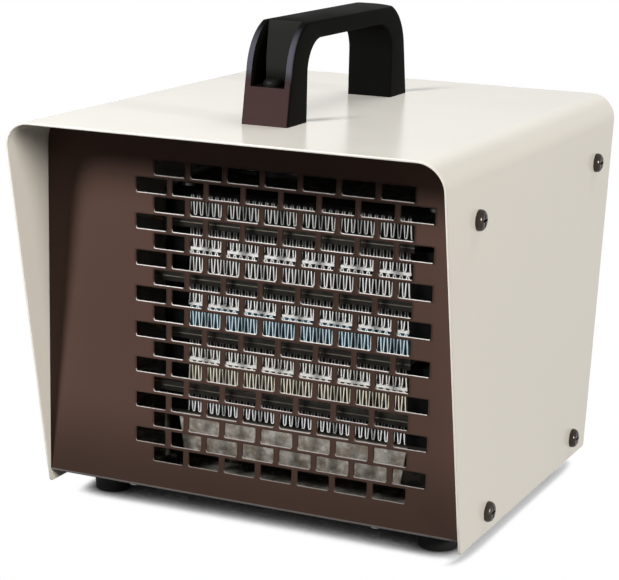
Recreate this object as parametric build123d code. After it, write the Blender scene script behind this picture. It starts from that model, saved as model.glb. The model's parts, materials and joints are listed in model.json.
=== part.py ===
from build123d import *
import math
import os

# Ceramic space heater: a folded steel casing round a fan and a stack of heating bars.
# Millimetres, Z up, front towards -Y, origin on the floor under the middle of the top.

# Casing
case_width = 200.0
case_height = 170.0
top_depth = 227.0
front_rake = 34.0
rear_rake = 23.0
shell_sheet = 1.0
bend_radius = 12.0
corner_radius = 2.0
shell_lift = 7.0
panel_sheet = 0.8
base_rise = 5.2
flange_depth = 14.0
flange_notch = 4.0
fold_radius = 1.6
pan_flange_height = 12.0
case_gap = 0.3
touch = 0.01

# Grille
slot_width = 14.7
slot_height = 6.4
slot_radius = 0.5
slot_web = 2.88
row_web = 1.61
grille_rows = 17
long_row_slots = 8
grille_z = 92.8
intake_radius = 56.0

# Air path, shared by grille, element and fan
duct_offset = 14.5
element_z = 94.5

# Carry handle
handle_length = 131.0
handle_width = 22.0
handle_height = 44.0
handle_crown = 1.7
handle_leg = 19.8
handle_bar = 9.0
handle_lean = 7.3
handle_outer_radius = 23.5
handle_inner_radius = 14.0
handle_shift = -1.6
handle_edge = 1.2
pocket_rise = 16.0
pocket_wall = 3.0
pocket_back = 2.2
pocket_slope_rise = 27.0
pocket_slope_reach = 2.5

# Feet
foot_radius = 8.5
foot_taper = 0.5
foot_edge = 1.0
foot_spread = 161.0
foot_front_inset = 24.5
foot_rear_inset = 27.5
foot_bore_radius = 4.6
foot_bore_depth = 6.0

# Fasteners
screw_clearance = 0.1
thread_clearance = 0.05
side_head_radius = 4.5
side_head_height = 2.8
side_shank_radius = 1.75
side_shank_length = 8.5
side_high_rise = 141.2
side_low_rise = 9.5
side_front_inset = 6.0
side_rear_inset = 5.0
side_low_front_inset = 32.0
side_low_rear_inset = 20.3
case_head_radius = 3.0
case_head_height = 2.0
case_shank_radius = 1.5
case_shank_length = 7.0
handle_head_radius = 4.5
handle_head_height = 3.2
handle_shank_radius = 2.4
handle_nut_width = 8.0
handle_nut_height = 4.0
foot_head_radius = 4.0
foot_head_height = 2.4
foot_shank_radius = 2.0
foot_nut_width = 7.0
foot_nut_height = 3.2
base_screw_spread = 118.0
cradle_screw_spread = 70.0
shroud_screw_low = 45.0
shroud_screw_high = 31.5
bracket_screw_spread = 16.0
head_round_share = 0.75
recess_width = 0.9
recess_share = 0.55

# Heating element
fin_setback = 17.5
fin_width = 105.0
fin_depth = 22.0
fin_height = 9.65
fin_sheet = 0.4
fin_pitch = 3.0
fin_crest = 0.7
bar_count = 4
bar_height = 4.5
bar_wall = 0.6
bar_lead = 5.0
bar_trail = 3.0
bar_tail_left = 10.5
bar_tail_right = 3.0
strip_height = 1.2
stone_length = 15.0
stones_per_bar = 6
stone_clearance = 0.1
tab_thickness = 0.8
tab_width = 6.3
tab_reach = 8.0
tab_grip = 5.0
frame_width = 12.0
frame_setback = 1.0
frame_spine = 3.0
frame_clearance = 0.15
end_gap = 0.3
pack_plate_sheet = 1.2
cradle_sheet = 1.0
skirt_drop = 18.0
skirt_left_inset = 7.7
skirt_right_inset = 11.4
skirt_end_slant = 3.0
cradle_foot = 12.0
gusset_rise = 8.0

# Duct and fan
duct_sheet = 0.8
duct_gap = 0.3
duct_lap = 14.0
duct_foot = 7.5
shroud_y = 9.0
shroud_sheet = 1.0
shroud_flange = 12.0
collar_length = 12.0
fan_radius = 45.0
fan_tip_gap = 2.0
fan_hub_radius = 9.0
fan_hub_length = 18.0
fan_blades = 5
blade_sheet = 1.2
blade_pitch = 32.0
blade_root_width = 10.0
blade_tip_width = 36.0
fan_nut_width = 8.0
fan_nut_height = 4.0

# Motor
shaft_radius = 2.5
shaft_nose = 2.0
shaft_fit = 0.02
running_fit = 0.04
bracket_sheet = 1.5
bracket_height = 24.0
bracket_reach = 21.5
bracket_gap = 3.0
bracket_foot = 10.0
bridge_plate = 4.0
bridge_post = 8.0
bridge_half_width = 29.0
bridge_half_height = 9.0
bridge_hub_radius = 9.0
bearing_radius = 6.0
bearing_length = 10.0
thrust_gap = 0.5
stack_length = 18.0
stack_half_width = 30.0
stack_top = 22.0
stack_bottom = 50.0
stack_core = 13.0
stack_window_half = 17.0
stack_window_height = 15.0
rotor_radius = 12.0
air_gap = 0.4
rotor_ring = 10.0
rotor_ring_length = 1.0
coil_build = 11.0
coil_gap = 0.3
coil_edge = 3.0
motor_screw_spread = 48.0
motor_screw_radius = 2.0
motor_head_radius = 3.8
motor_head_height = 2.6

# Controls and wiring
control_x = -74.0
mode_z = 133.0
thermostat_z = 88.0
gland_z = 40.0
mode_body = 34.0
mode_depth = 26.0
thermostat_body = 38.0
thermostat_depth = 30.0
bush_radius = 5.0
bush_reach = 6.0
spindle_radius = 3.0
spindle_seat = 8.0
control_nut_width = 14.0
control_nut_height = 2.5
knob_radius = 17.0
knob_disc = 6.0
knob_grip_height = 11.0
knob_grip_width = 9.0
knob_edge = 1.2
knob_gap = 0.8
knob_recess_radius = 9.5
knob_recess_depth = 6.2
knob_grip_depth = 7.0
knob_mark_width = 1.6
knob_mark_depth = 0.6
gland_radius = 9.5
gland_nose_radius = 7.0
gland_nose = 9.0
gland_thread_radius = 6.0
gland_thread_length = 12.0
gland_bore_radius = 4.2
gland_nut_width = 17.0
gland_nut_height = 5.0
terminal_width = 20.0
terminal_length = 36.0
terminal_height = 16.0
terminal_x = -78.0
terminal_gap = 3.0
terminal_poles = 3
terminal_bore_radius = 2.0
terminal_screw_radius = 2.4
terminal_screw_depth = 4.0
cutout_radius = 8.0
cutout_height = 7.0
cutout_ear = 12.5
cutout_ear_width = 8.0
cutout_ear_height = 1.5
cutout_x = -20.0
cutout_y = -15.0
lead_radius = 1.2
lead_bend_share = 0.45
lead_side_gap = 6.0
lead_top_gap = 10.0

# Places that follow from the sizes
slot_pitch = slot_width + slot_web
row_pitch = slot_height + row_web
top_z = shell_lift + case_height
front_top_y = -top_depth / 2
rear_top_y = top_depth / 2
front_y = front_top_y + front_rake
rear_y = rear_top_y - rear_rake
inner_half = case_width / 2 - shell_sheet - case_gap
inner_top = top_z - shell_sheet - case_gap
base_z = shell_lift + base_rise
pan_low = base_z + panel_sheet
pan_top = pan_low + panel_sheet
rear_inner_y = rear_y - panel_sheet
handle_front = handle_shift - handle_length / 2
handle_rear = handle_shift + handle_length / 2
pocket_depth = handle_leg - pocket_back
fin_front = front_y + fin_setback
fin_back = fin_front + fin_depth
fin_left = duct_offset - fin_width / 2
fin_right = duct_offset + fin_width / 2
bar_front = fin_front - bar_lead
bar_back = fin_back + bar_trail
bar_left = fin_left - bar_tail_left
bar_right = fin_right + bar_tail_right
module_height = 2 * fin_height + bar_height
pack_height = bar_count * module_height + (bar_count - 1) * strip_height
pack_low = element_z - pack_height / 2
pack_high = element_z + pack_height / 2
frame_front = fin_front + frame_setback
frame_back = bar_back + frame_spine
fan_bore = fan_radius + fan_tip_gap
bracket_half_span = fan_bore + bracket_gap
bracket_tip = bracket_half_span + bracket_sheet / 2 + bracket_foot
pack_half = max(fin_width / 2 + end_gap + frame_width, bracket_tip + shroud_sheet + bracket_gap)
frame_left = duct_offset - pack_half
frame_right = duct_offset + pack_half
duct_left = frame_left - duct_gap
duct_right = frame_right + duct_gap
duct_top = max(pack_high + pack_plate_sheet, element_z + fan_bore + 2 * shroud_sheet) + duct_gap
duct_front = fin_front + duct_lap
duct_back = shroud_y + shroud_sheet + shroud_flange
shroud_back = shroud_y + shroud_sheet
crossbar_back = shroud_back + bracket_reach
stack_front = crossbar_back + bridge_plate + bridge_post
stack_back = stack_front + stack_length
motor_back = stack_back + bridge_post + bridge_plate
fan_back = shroud_y + fan_hub_length / 2
fan_front = shroud_y - fan_hub_length / 2
shaft_front = fan_front - fan_nut_height - shaft_nose
shaft_back = motor_back - bridge_plate / 2
motor_screw_half = motor_screw_spread / 2


# Small building blocks
def block(x0, x1, y0, y1, z0, z1):
    middle = Pos((x0 + x1) / 2, (y0 + y1) / 2, (z0 + z1) / 2)
    return middle * Box(x1 - x0, y1 - y0, z1 - z0)


def rod_x(radius, x0, x1, y, z):
    return Pos((x0 + x1) / 2, y, z) * Rot(0, 90, 0) * Cylinder(radius, x1 - x0)


def rod_y(radius, y0, y1, x, z):
    return Pos(x, (y0 + y1) / 2, z) * Rot(90, 0, 0) * Cylinder(radius, y1 - y0)


def rod_z(radius, z0, z1, x, y):
    return Pos(x, y, (z0 + z1) / 2) * Cylinder(radius, z1 - z0)


def slab_y(sketch, y0, y1):
    """Sketch drawn in X and Z, filled from y0 to y1."""
    plane = Plane(origin=(0, y1, 0), x_dir=(1, 0, 0), z_dir=(0, -1, 0))
    return extrude(plane * sketch, amount=y1 - y0)


def slab_x(sketch, x0, x1):
    """Sketch drawn in Y and Z, filled from x0 to x1."""
    plane = Plane(origin=(x0, 0, 0), x_dir=(0, 1, 0), z_dir=(1, 0, 0))
    return extrude(plane * sketch, amount=x1 - x0)


def slab_z(sketch, z0, z1):
    return extrude(Plane.XY.offset(z0) * sketch, amount=z1 - z0)


def outline(points):
    return make_face(Polyline(*points, close=True))


def ribbon(points, thickness):
    """Edge view of a folded sheet whose middle line runs through the points."""
    sides = []
    for side in (1, -1):
        row = []
        for i, point in enumerate(points):
            last = len(points) - 1
            ahead = Vector(*points[min(i + 1, last)]) - Vector(*points[min(i, last - 1)])
            behind = Vector(*points[max(i, 1)]) - Vector(*points[max(i - 1, 0)])
            normal_a = ahead.normalized().rotate(Axis.Z, 90)
            normal_b = behind.normalized().rotate(Axis.Z, 90)
            mitre = (normal_a + normal_b) * (1 / (1 + normal_a.dot(normal_b)))
            place = Vector(*point) + mitre * (side * thickness / 2)
            row.append((place.X, place.Y))
        sides.append(row)
    return outline(sides[0] + sides[1][::-1])


def edges_at(part, axis, y, z):
    """Edges along an axis that pass through the given y and z."""
    found = part.edges().filter_by(axis)
    return [e for e in found if abs(e.center().Y - y) < touch and abs(e.center().Z - z) < touch]


def screw(head_radius, head_height, shank_radius, shank_length):
    """Domed cross-head screw: head above z = 0, shank below."""
    head = Pos(0, 0, head_height / 2) * Cylinder(head_radius, head_height)
    head = fillet(head.edges().group_by(Axis.Z)[-1], head_round_share * head_height)
    recess_depth = recess_share * head_height
    recess_length = 2 * recess_share * head_radius
    cut = Pos(0, 0, head_height - recess_depth / 2)
    head = head - cut * Box(recess_length, recess_width, recess_depth)
    head = head - cut * Box(recess_width, recess_length, recess_depth)
    return head + Pos(0, 0, -shank_length / 2) * Cylinder(shank_radius, shank_length)


def nut(width, height, bore_radius):
    """Hexagon nut standing on z = 0."""
    across_corners = width / math.cos(math.pi / 6)
    return extrude(RegularPolygon(across_corners / 2, 6) - Circle(bore_radius), amount=height)


def save(name, *solids):
    os.makedirs("parts", exist_ok=True)
    shape = solids[0] if len(solids) == 1 else Compound(list(solids))
    export_step(shape, "parts/" + name + ".step")


# Screw places
side_places = [
    (front_y + side_front_inset, shell_lift + side_high_rise),
    (rear_y - side_rear_inset, shell_lift + side_high_rise),
    (front_y + side_low_front_inset, shell_lift + side_low_rise),
    (rear_y - side_low_rear_inset, shell_lift + side_low_rise),
]
handle_screw_y = [handle_front + pocket_depth / 2, handle_rear - pocket_depth / 2]
foot_places = {
    "foot_front_left": (-foot_spread / 2, front_y + foot_front_inset),
    "foot_front_right": (foot_spread / 2, front_y + foot_front_inset),
    "foot_rear_left": (-foot_spread / 2, rear_y - foot_rear_inset),
    "foot_rear_right": (foot_spread / 2, rear_y - foot_rear_inset),
}
base_screw_x = [-base_screw_spread / 2, base_screw_spread / 2]
front_screw_y = front_y + flange_depth / 2
rear_screw_y = rear_y - flange_depth / 2
cradle_screw_y = frame_back + cradle_foot / 2
cradle_screw_x = [duct_offset - cradle_screw_spread / 2, duct_offset + cradle_screw_spread / 2]
duct_screw_x = [duct_left - duct_sheet - duct_foot / 2, duct_right + duct_sheet + duct_foot / 2]
duct_screw_y = [duct_front + duct_foot, duct_back - duct_foot]
frame_screw_x = [(frame_left + fin_left - end_gap) / 2, (frame_right + fin_right + end_gap) / 2]
frame_screw_y = (fin_front + fin_back) / 2
shroud_screw_y = shroud_back + shroud_flange / 2
shroud_screw_z = [element_z - shroud_screw_low, element_z + shroud_screw_high]
bracket_screw_reach = bracket_half_span + (bracket_foot + bracket_sheet) / 2
bracket_screw_x = [duct_offset - bracket_screw_reach, duct_offset + bracket_screw_reach]
bracket_screw_z = [element_z - bracket_screw_spread / 2, element_z + bracket_screw_spread / 2]
motor_screw_x = [duct_offset - motor_screw_half, duct_offset + motor_screw_half]
cutout_screw_x = [cutout_x - cutout_ear + case_head_radius / 2, cutout_x + cutout_ear - case_head_radius / 2]
case_hole = case_shank_radius + screw_clearance
foot_nut_reach = foot_nut_width / math.sqrt(3)
terminal_back = rear_y - foot_rear_inset - foot_nut_reach - terminal_gap
terminal_y = terminal_back - terminal_length / 2


# Casing
def outer_shell():
    tall = Pos(0, (shell_lift + top_z) / 2) * Rectangle(case_width, case_height)
    tall = fillet(tall.vertices().group_by(Axis.Y)[-1], bend_radius)
    inside_height = case_height - shell_sheet
    inside = Pos(0, shell_lift + inside_height / 2) * Rectangle(case_width - 2 * shell_sheet, inside_height)
    inside = fillet(inside.vertices().group_by(Axis.Y)[-1], bend_radius - shell_sheet)
    folded = slab_y(tall - inside, front_top_y, rear_top_y)
    side = outline([(front_top_y, top_z), (rear_top_y, top_z), (rear_y, shell_lift), (front_y, shell_lift)])
    side = fillet(side.vertices().group_by(Axis.Y)[0], corner_radius)
    shell = folded & slab_x(side, -case_width / 2, case_width / 2)
    for y, z in side_places:
        shell = shell - rod_x(side_shank_radius + screw_clearance, -case_width, case_width, y, z)
    for y in handle_screw_y:
        shell = shell - rod_z(handle_shank_radius + screw_clearance, inner_top, top_z + shell_sheet, 0, y)
    return shell


def brick_slots():
    places = []
    for row in range(grille_rows):
        count = long_row_slots - 1 + row % 2
        z = grille_z + ((grille_rows - 1) / 2 - row) * row_pitch
        places += [(duct_offset + (k - (count - 1) / 2) * slot_pitch, z) for k in range(count)]
    return places


def panel_face():
    height = inner_top - base_z
    face = Pos(0, base_z + height / 2) * Rectangle(2 * inner_half, height)
    return fillet(face.vertices().group_by(Axis.Y)[-1], bend_radius - shell_sheet - case_gap)


def folded_panel(face, outer_y, inward):
    """Panel with side and lower flanges; inward is +1 for the front panel and -1 for the rear."""
    inner_y = outer_y + inward * panel_sheet
    flange_y = outer_y + inward * flange_depth
    low_y, high_y = sorted((outer_y, flange_y))
    panel = slab_y(face, *sorted((outer_y, inner_y)))
    panel = panel + block(-inner_half, inner_half, low_y, high_y, base_z, pan_low)
    flange_low = pan_top + flange_notch
    flange_high = top_z - bend_radius - case_gap
    for side in (-1, 1):
        x0, x1 = sorted((side * inner_half, side * (inner_half - panel_sheet)))
        panel = panel + block(x0, x1, low_y, high_y, flange_low, flange_high)
    panel = fillet(edges_at(panel, Axis.X, outer_y, base_z), fold_radius)
    panel = fillet(edges_at(panel, Axis.X, inner_y, pan_low), fold_radius - panel_sheet)
    return panel


def drill_base_screws(part):
    for x in base_screw_x:
        for y in (front_screw_y, rear_screw_y):
            part = part - rod_z(case_hole, base_z - case_gap, pan_top + case_gap, x, y)
    return part


def drill_side_screws(part):
    for y, z in side_places:
        part = part - rod_x(side_shank_radius + thread_clearance, -case_width, case_width, y, z)
    return part


def front_panel():
    slots = [Pos(x, z) * RectangleRounded(slot_width, slot_height, slot_radius) for x, z in brick_slots()]
    panel = folded_panel(panel_face() - slots, front_y, 1)
    return drill_side_screws(drill_base_screws(panel))


def rear_panel():
    slots = []
    for x, z in brick_slots():
        far_x = abs(x - duct_offset) + slot_width / 2
        far_z = abs(z - element_z) + slot_height / 2
        if math.hypot(far_x, far_z) < intake_radius:
            slots.append(Pos(x, z) * RectangleRounded(slot_width, slot_height, slot_radius))
    bush_hole = Circle(bush_radius + screw_clearance)
    gland_hole = Circle(gland_thread_radius + screw_clearance)
    holes = [Pos(control_x, mode_z) * bush_hole, Pos(control_x, thermostat_z) * bush_hole]
    holes.append(Pos(control_x, gland_z) * gland_hole)
    panel = folded_panel(panel_face() - slots - holes, rear_y, -1)
    return drill_side_screws(drill_base_screws(panel))


def base_pan():
    pan_front = front_y + panel_sheet + case_gap + fold_radius
    pan_rear = rear_y - panel_sheet - case_gap - fold_radius
    pan = block(-inner_half, inner_half, pan_front, pan_rear, pan_low, pan_top)
    flange_front = front_y + flange_depth + case_gap
    flange_rear = rear_y - flange_depth - case_gap
    for side in (-1, 1):
        x0, x1 = sorted((side * inner_half, side * (inner_half - panel_sheet)))
        pan = pan + block(x0, x1, flange_front, flange_rear, pan_low, pan_low + pan_flange_height)
    for x, y in foot_places.values():
        pan = pan - rod_z(foot_shank_radius + screw_clearance, base_z, pan_top + case_gap, x, y)
    for x in cradle_screw_x:
        pan = pan - rod_z(case_hole, base_z, pan_top + case_gap, x, cradle_screw_y)
    for x in duct_screw_x:
        for y in duct_screw_y:
            pan = pan - rod_z(case_hole, base_z, pan_top + case_gap, x, y)
    return drill_side_screws(drill_base_screws(pan))


def side_screws():
    one = screw(side_head_radius, side_head_height, side_shank_radius, side_shank_length)
    solids = []
    for y, z in side_places:
        for side in (-1, 1):
            solids.append(Pos(side * case_width / 2, y, z) * Rot(0, side * 90, 0) * one)
    return solids


# Carry handle
def handle_profile():
    outer = outline([(handle_front, 0), (handle_front + handle_lean, handle_height),
                     (handle_rear - handle_lean, handle_height), (handle_rear, 0)])
    outer = fillet(outer.vertices().group_by(Axis.Y)[-1], handle_outer_radius)
    gap_height = handle_height - handle_bar
    inner = Pos(handle_shift, gap_height / 2) * Rectangle(handle_length - 2 * handle_leg, gap_height)
    inner = fillet(inner.vertices().group_by(Axis.Y)[-1], handle_inner_radius)
    return Pos(0, top_z) * (outer - inner)


def handle_section():
    half = handle_width / 2
    side = handle_height - handle_crown
    sides = Polyline((half, side), (half, 0), (-half, 0), (-half, side))
    section = make_face(sides + ThreePointArc((-half, side), (0, handle_height), (half, side)))
    section = fillet(section.vertices().group_by(Axis.Y)[-1], handle_edge)
    return Pos(0, top_z) * section


def carry_handle():
    handle = slab_x(handle_profile(), -handle_width / 2, handle_width / 2)
    rim = []
    for edge in handle.edges():
        on_side = abs(abs(edge.center().X) - handle_width / 2) < touch
        if on_side and edge.bounding_box().max.Z > top_z + touch:
            rim.append(edge)
    handle = fillet(rim, handle_edge) & slab_y(handle_section(), handle_front, handle_rear)
    half = handle_width / 2 - pocket_wall
    floor = top_z + pocket_rise
    slope_low = top_z + pocket_slope_rise
    slope_high = top_z + handle_height + handle_edge
    for end, inward in ((handle_front, 1), (handle_rear, -1)):
        back = end + inward * pocket_depth
        deep = back + inward * pocket_slope_reach
        corners = [(end, floor), (back, floor), (back, slope_low), (deep, slope_high), (end, slope_high)]
        handle = handle - slab_x(outline(corners), -half, half)
    hole = handle_shank_radius + screw_clearance
    for y in handle_screw_y:
        handle = handle - rod_z(hole, top_z - case_gap, floor + case_gap, 0, y)
    return handle


def handle_screws():
    length = pocket_rise + shell_sheet + handle_nut_height + screw_clearance
    one = screw(handle_head_radius, handle_head_height, handle_shank_radius, length)
    return [Pos(0, y, top_z + pocket_rise) * one for y in handle_screw_y]


def handle_nuts():
    one = nut(handle_nut_width, handle_nut_height, handle_shank_radius + thread_clearance)
    return [Pos(0, y, top_z - shell_sheet - handle_nut_height) * one for y in handle_screw_y]


# Feet
def foot(x, y):
    body = Pos(x, y, pan_low / 2) * Cone(foot_radius - foot_taper, foot_radius + foot_taper, pan_low)
    body = fillet(body.edges().group_by(Axis.Z)[0], foot_edge)
    body = body - rod_z(foot_bore_radius, -foot_edge, foot_bore_depth, x, y)
    return body - rod_z(foot_shank_radius + screw_clearance, 0, pan_top, x, y)


def foot_screws():
    length = pan_top + foot_nut_height - foot_bore_depth
    one = Rot(180, 0, 0) * screw(foot_head_radius, foot_head_height, foot_shank_radius, length)
    return [Pos(x, y, foot_bore_depth) * one for x, y in foot_places.values()]


def foot_nuts():
    one = nut(foot_nut_width, foot_nut_height, foot_shank_radius + thread_clearance)
    return [Pos(x, y, pan_top) * one for x, y in foot_places.values()]


# Heating element
def module_top(module):
    return pack_high - module * (module_height + strip_height)


bar_lows = [module_top(m) - fin_height - bar_height for m in range(bar_count)]


def heater_fin(low_z):
    waves = round(fin_width / fin_pitch)
    step = fin_width / waves / 2
    low = low_z + fin_sheet / 2
    high = low_z + fin_height - fin_sheet / 2
    points = []
    for i in range(2 * waves + 1):
        x = fin_left + i * step
        z = high if i % 2 else low
        points.append((max(x - fin_crest / 2, fin_left), z))
        points.append((min(x + fin_crest / 2, fin_right), z))
    return slab_y(ribbon(points, fin_sheet), fin_front, fin_back)


def ptc_bar(low_z):
    bar = block(bar_left, bar_right, bar_front, bar_back, low_z, low_z + bar_height)
    inside_low = low_z + bar_wall
    inside_high = low_z + bar_height - bar_wall
    return bar - block(bar_left - bar_wall, bar_right + bar_wall, bar_front + bar_wall, bar_back - bar_wall,
                       inside_low, inside_high)


def bar_stones(low_z):
    pitch = (bar_right - bar_left - tab_grip) / stones_per_bar
    half_depth = (bar_back - bar_front) / 2 - bar_wall - stone_clearance
    height = bar_height - 2 * bar_wall - 2 * stone_clearance
    middle_y = (bar_front + bar_back) / 2
    solids = []
    for i in range(stones_per_bar):
        x = bar_left + tab_grip + (i + 0.5) * pitch
        stone = Box(stone_length, 2 * half_depth, height)
        solids.append(Pos(x, middle_y, low_z + bar_height / 2) * stone)
    return solids


def bar_tab(low_z):
    low = low_z + bar_wall + stone_clearance
    middle_y = (frame_front + bar_front) / 2 + tab_width
    front = middle_y - tab_width / 2
    tip = frame_left - tab_reach
    return block(tip, bar_left + tab_grip, front, front + tab_width, low, low + tab_thickness)


def spacer_strip(low_z):
    return block(fin_left, fin_right, fin_front, fin_back, low_z, low_z + strip_height)


def end_frame(x0, x1):
    frame = block(x0, x1, frame_front, frame_back, pack_low, pack_high)
    for low in bar_lows:
        frame = frame - block(x0, x1, frame_front, bar_back + frame_clearance,
                              low - frame_clearance, low + bar_height + frame_clearance)
    x = (x0 + x1) / 2
    frame = frame - rod_z(case_hole, pack_high - case_shank_length - case_gap, pack_high, x, frame_screw_y)
    return frame - rod_z(case_hole, pack_low, pack_low + case_shank_length + case_gap, x, frame_screw_y)


def pack_plate():
    plate = block(frame_left, frame_right, fin_front, frame_back, pack_high, pack_high + pack_plate_sheet)
    for x in frame_screw_x:
        plate = plate - rod_z(case_hole, pack_high, duct_top, x, frame_screw_y)
    return plate


def element_cradle():
    shelf_low = pack_low - cradle_sheet
    cradle = block(frame_left, frame_right, fin_front, frame_back, shelf_low, pack_low)
    cradle = cradle + block(frame_left, frame_right, frame_back - cradle_sheet, frame_back, pan_top, pack_low)
    cradle = cradle + block(frame_left, frame_right, frame_back - cradle_sheet, frame_back + cradle_foot,
                            pan_top, pan_top + cradle_sheet)
    gusset_low = pan_top + gusset_rise
    for x0 in (frame_left, frame_right - cradle_sheet):
        cradle = cradle + block(x0, x0 + cradle_sheet, frame_front, frame_back, gusset_low, pack_low)
    left = frame_left + skirt_left_inset
    right = frame_right - skirt_right_inset
    skirt_low = shelf_low - skirt_drop
    skirt = outline([(left, pack_low), (right, pack_low), (right - skirt_end_slant, skirt_low),
                     (left + skirt_end_slant, skirt_low)])
    cradle = cradle + slab_y(skirt, fin_front, fin_front + cradle_sheet)
    for x in cradle_screw_x:
        cradle = cradle - rod_z(case_hole, pan_low, pan_top + 2 * cradle_sheet, x, cradle_screw_y)
    for x in frame_screw_x:
        cradle = cradle - rod_z(case_hole, shelf_low - cradle_sheet, pack_low, x, frame_screw_y)
    return cradle


# Duct and fan
def air_duct():
    out_left = duct_left - duct_sheet
    out_right = duct_right + duct_sheet
    duct = block(out_left, out_right, duct_front, duct_back, duct_top, duct_top + duct_sheet)
    for x0, x1 in ((out_left, duct_left), (duct_right, out_right)):
        duct = duct + block(x0, x1, duct_front, duct_back, pan_top, duct_top)
    for x0, x1 in ((out_left - duct_foot, out_left), (out_right, out_right + duct_foot)):
        duct = duct + block(x0, x1, duct_front, duct_back, pan_top, pan_top + duct_sheet)
    for x in duct_screw_x:
        for y in duct_screw_y:
            duct = duct - rod_z(case_hole, pan_low, pan_top + 2 * duct_sheet, x, y)
    for z in shroud_screw_z:
        duct = duct - rod_x(case_hole, out_left - case_gap, out_right + case_gap, shroud_screw_y, z)
    for x in cutout_screw_x:
        duct = duct - rod_z(case_hole, duct_top - case_gap, duct_top + 2 * duct_sheet, x, cutout_y)
    return duct


def fan_shroud():
    left = duct_left + duct_gap
    right = duct_right - duct_gap
    top = duct_top - duct_gap
    shroud = block(left, right, shroud_y, shroud_back, pan_top, top)
    collar_front = shroud_back - collar_length
    shroud = shroud + rod_y(fan_bore + shroud_sheet, collar_front, shroud_back, duct_offset, element_z)
    shroud = shroud - rod_y(fan_bore, collar_front, shroud_back, duct_offset, element_z)
    for x0, x1 in ((left, left + shroud_sheet), (right - shroud_sheet, right)):
        shroud = shroud + block(x0, x1, shroud_y, duct_back, pan_top, top)
    for z in shroud_screw_z:
        shroud = shroud - rod_x(case_hole, duct_left, duct_right, shroud_screw_y, z)
    for x in bracket_screw_x:
        for z in bracket_screw_z:
            shroud = shroud - rod_y(case_hole, shroud_y, shroud_back, x, z)
    return shroud


def fan_impeller():
    fan = rod_y(fan_hub_radius, fan_front, fan_back, duct_offset, element_z)
    root = fan_hub_radius - blade_sheet
    blade = outline([(root, -blade_root_width / 2), (fan_radius, -blade_tip_width / 2),
                     (fan_radius, blade_tip_width / 2), (root, blade_root_width / 2)])
    blade = Rot(90 + blade_pitch, 0, 0) * extrude(blade, amount=blade_sheet / 2, both=True)
    blades = []
    for i in range(fan_blades):
        turn = Pos(duct_offset, shroud_y, element_z) * Rot(0, 360 * i / fan_blades, 0)
        blades.append(turn * blade)
    swept = rod_y(fan_radius, fan_front - fan_hub_length, fan_back + fan_hub_length, duct_offset, element_z)
    for one in blades:
        fan = fan + (one & swept)
    return fan - rod_y(shaft_radius + shaft_fit, fan_front, fan_back, duct_offset, element_z)


def fan_nut():
    one = nut(fan_nut_width, fan_nut_height, shaft_radius + shaft_fit)
    return Pos(duct_offset, fan_front, element_z) * Rot(90, 0, 0) * one


# Motor
def motor_bracket():
    foot_y = shroud_back + bracket_sheet / 2
    bar_y = crossbar_back - bracket_sheet / 2
    leg_x = bracket_half_span + bracket_sheet / 2
    left = [(-bracket_tip, foot_y), (-leg_x, foot_y), (-leg_x, bar_y)]
    right = [(leg_x, bar_y), (leg_x, foot_y), (bracket_tip, foot_y)]
    strap = Pos(duct_offset, 0) * ribbon(left + right, bracket_sheet)
    half = bracket_height / 2
    bracket = slab_z(strap, element_z - half, element_z + half)
    bracket = bracket - rod_y(bearing_radius, shroud_back, crossbar_back, duct_offset, element_z)
    for x in motor_screw_x:
        thread_radius = motor_screw_radius + thread_clearance
        bracket = bracket - rod_y(thread_radius, shroud_back, crossbar_back, x, element_z)
    for x in bracket_screw_x:
        for z in bracket_screw_z:
            bracket = bracket - rod_y(case_hole, shroud_back, shroud_back + 2 * bracket_sheet, x, z)
    return bracket


def bearing_bridge(plate_y, inward):
    """Cast bridge: plate, two posts on the stack and a hub; inward points to the stack."""
    plate = sorted((plate_y, plate_y + inward * bridge_plate))
    post = sorted((plate_y, plate_y + inward * (bridge_plate + bridge_post)))
    hub = sorted((plate_y, plate_y + inward * (bridge_plate + bridge_post - thrust_gap)))
    bridge = block(duct_offset - bridge_half_width, duct_offset + bridge_half_width, *plate,
                   element_z - bridge_half_height, element_z + bridge_half_height)
    bridge = bridge + rod_y(bridge_hub_radius, *hub, duct_offset, element_z)
    post_radius = bridge_half_width - motor_screw_half
    for x in motor_screw_x:
        bridge = bridge + rod_y(post_radius, *post, x, element_z)
        bridge = bridge - rod_y(motor_screw_radius + screw_clearance, *post, x, element_z)
    return bridge - rod_y(bearing_radius + shaft_fit, *post, duct_offset, element_z)


def motor_bearings():
    reach = bridge_post + bridge_plate - thrust_gap
    front_end = crossbar_back + reach
    rear_end = motor_back - reach
    solids = []
    for y0, y1 in ((front_end - bearing_length, front_end), (rear_end, rear_end + bearing_length)):
        ring = rod_y(bearing_radius, y0, y1, duct_offset, element_z)
        solids.append(ring - rod_y(shaft_radius + running_fit, y0, y1, duct_offset, element_z))
    return solids


def motor_stator():
    low = element_z - stack_bottom
    stack = block(duct_offset - stack_half_width, duct_offset + stack_half_width, stack_front, stack_back,
                  low, element_z + stack_top)
    window_low = low + stack_core
    stack = stack - block(duct_offset - stack_window_half, duct_offset + stack_window_half,
                          stack_front, stack_back, window_low, window_low + stack_window_height)
    stack = stack - rod_y(rotor_radius + air_gap, stack_front, stack_back, duct_offset, element_z)
    for x in motor_screw_x:
        stack = stack - rod_y(motor_screw_radius + screw_clearance, stack_front, stack_back, x, element_z)
    return stack


def motor_coil():
    low = element_z - stack_bottom - coil_gap
    high = element_z - stack_bottom + stack_core + coil_gap
    front = stack_front - coil_gap
    back = stack_back + coil_gap
    half = stack_window_half - coil_gap
    coil = block(duct_offset - half, duct_offset + half, front - coil_build, back + coil_build,
                 low - coil_build, high + coil_build)
    coil = fillet(coil.edges().filter_by(Axis.X), coil_edge)
    return coil - block(duct_offset - half, duct_offset + half, front, back, low, high)


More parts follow.
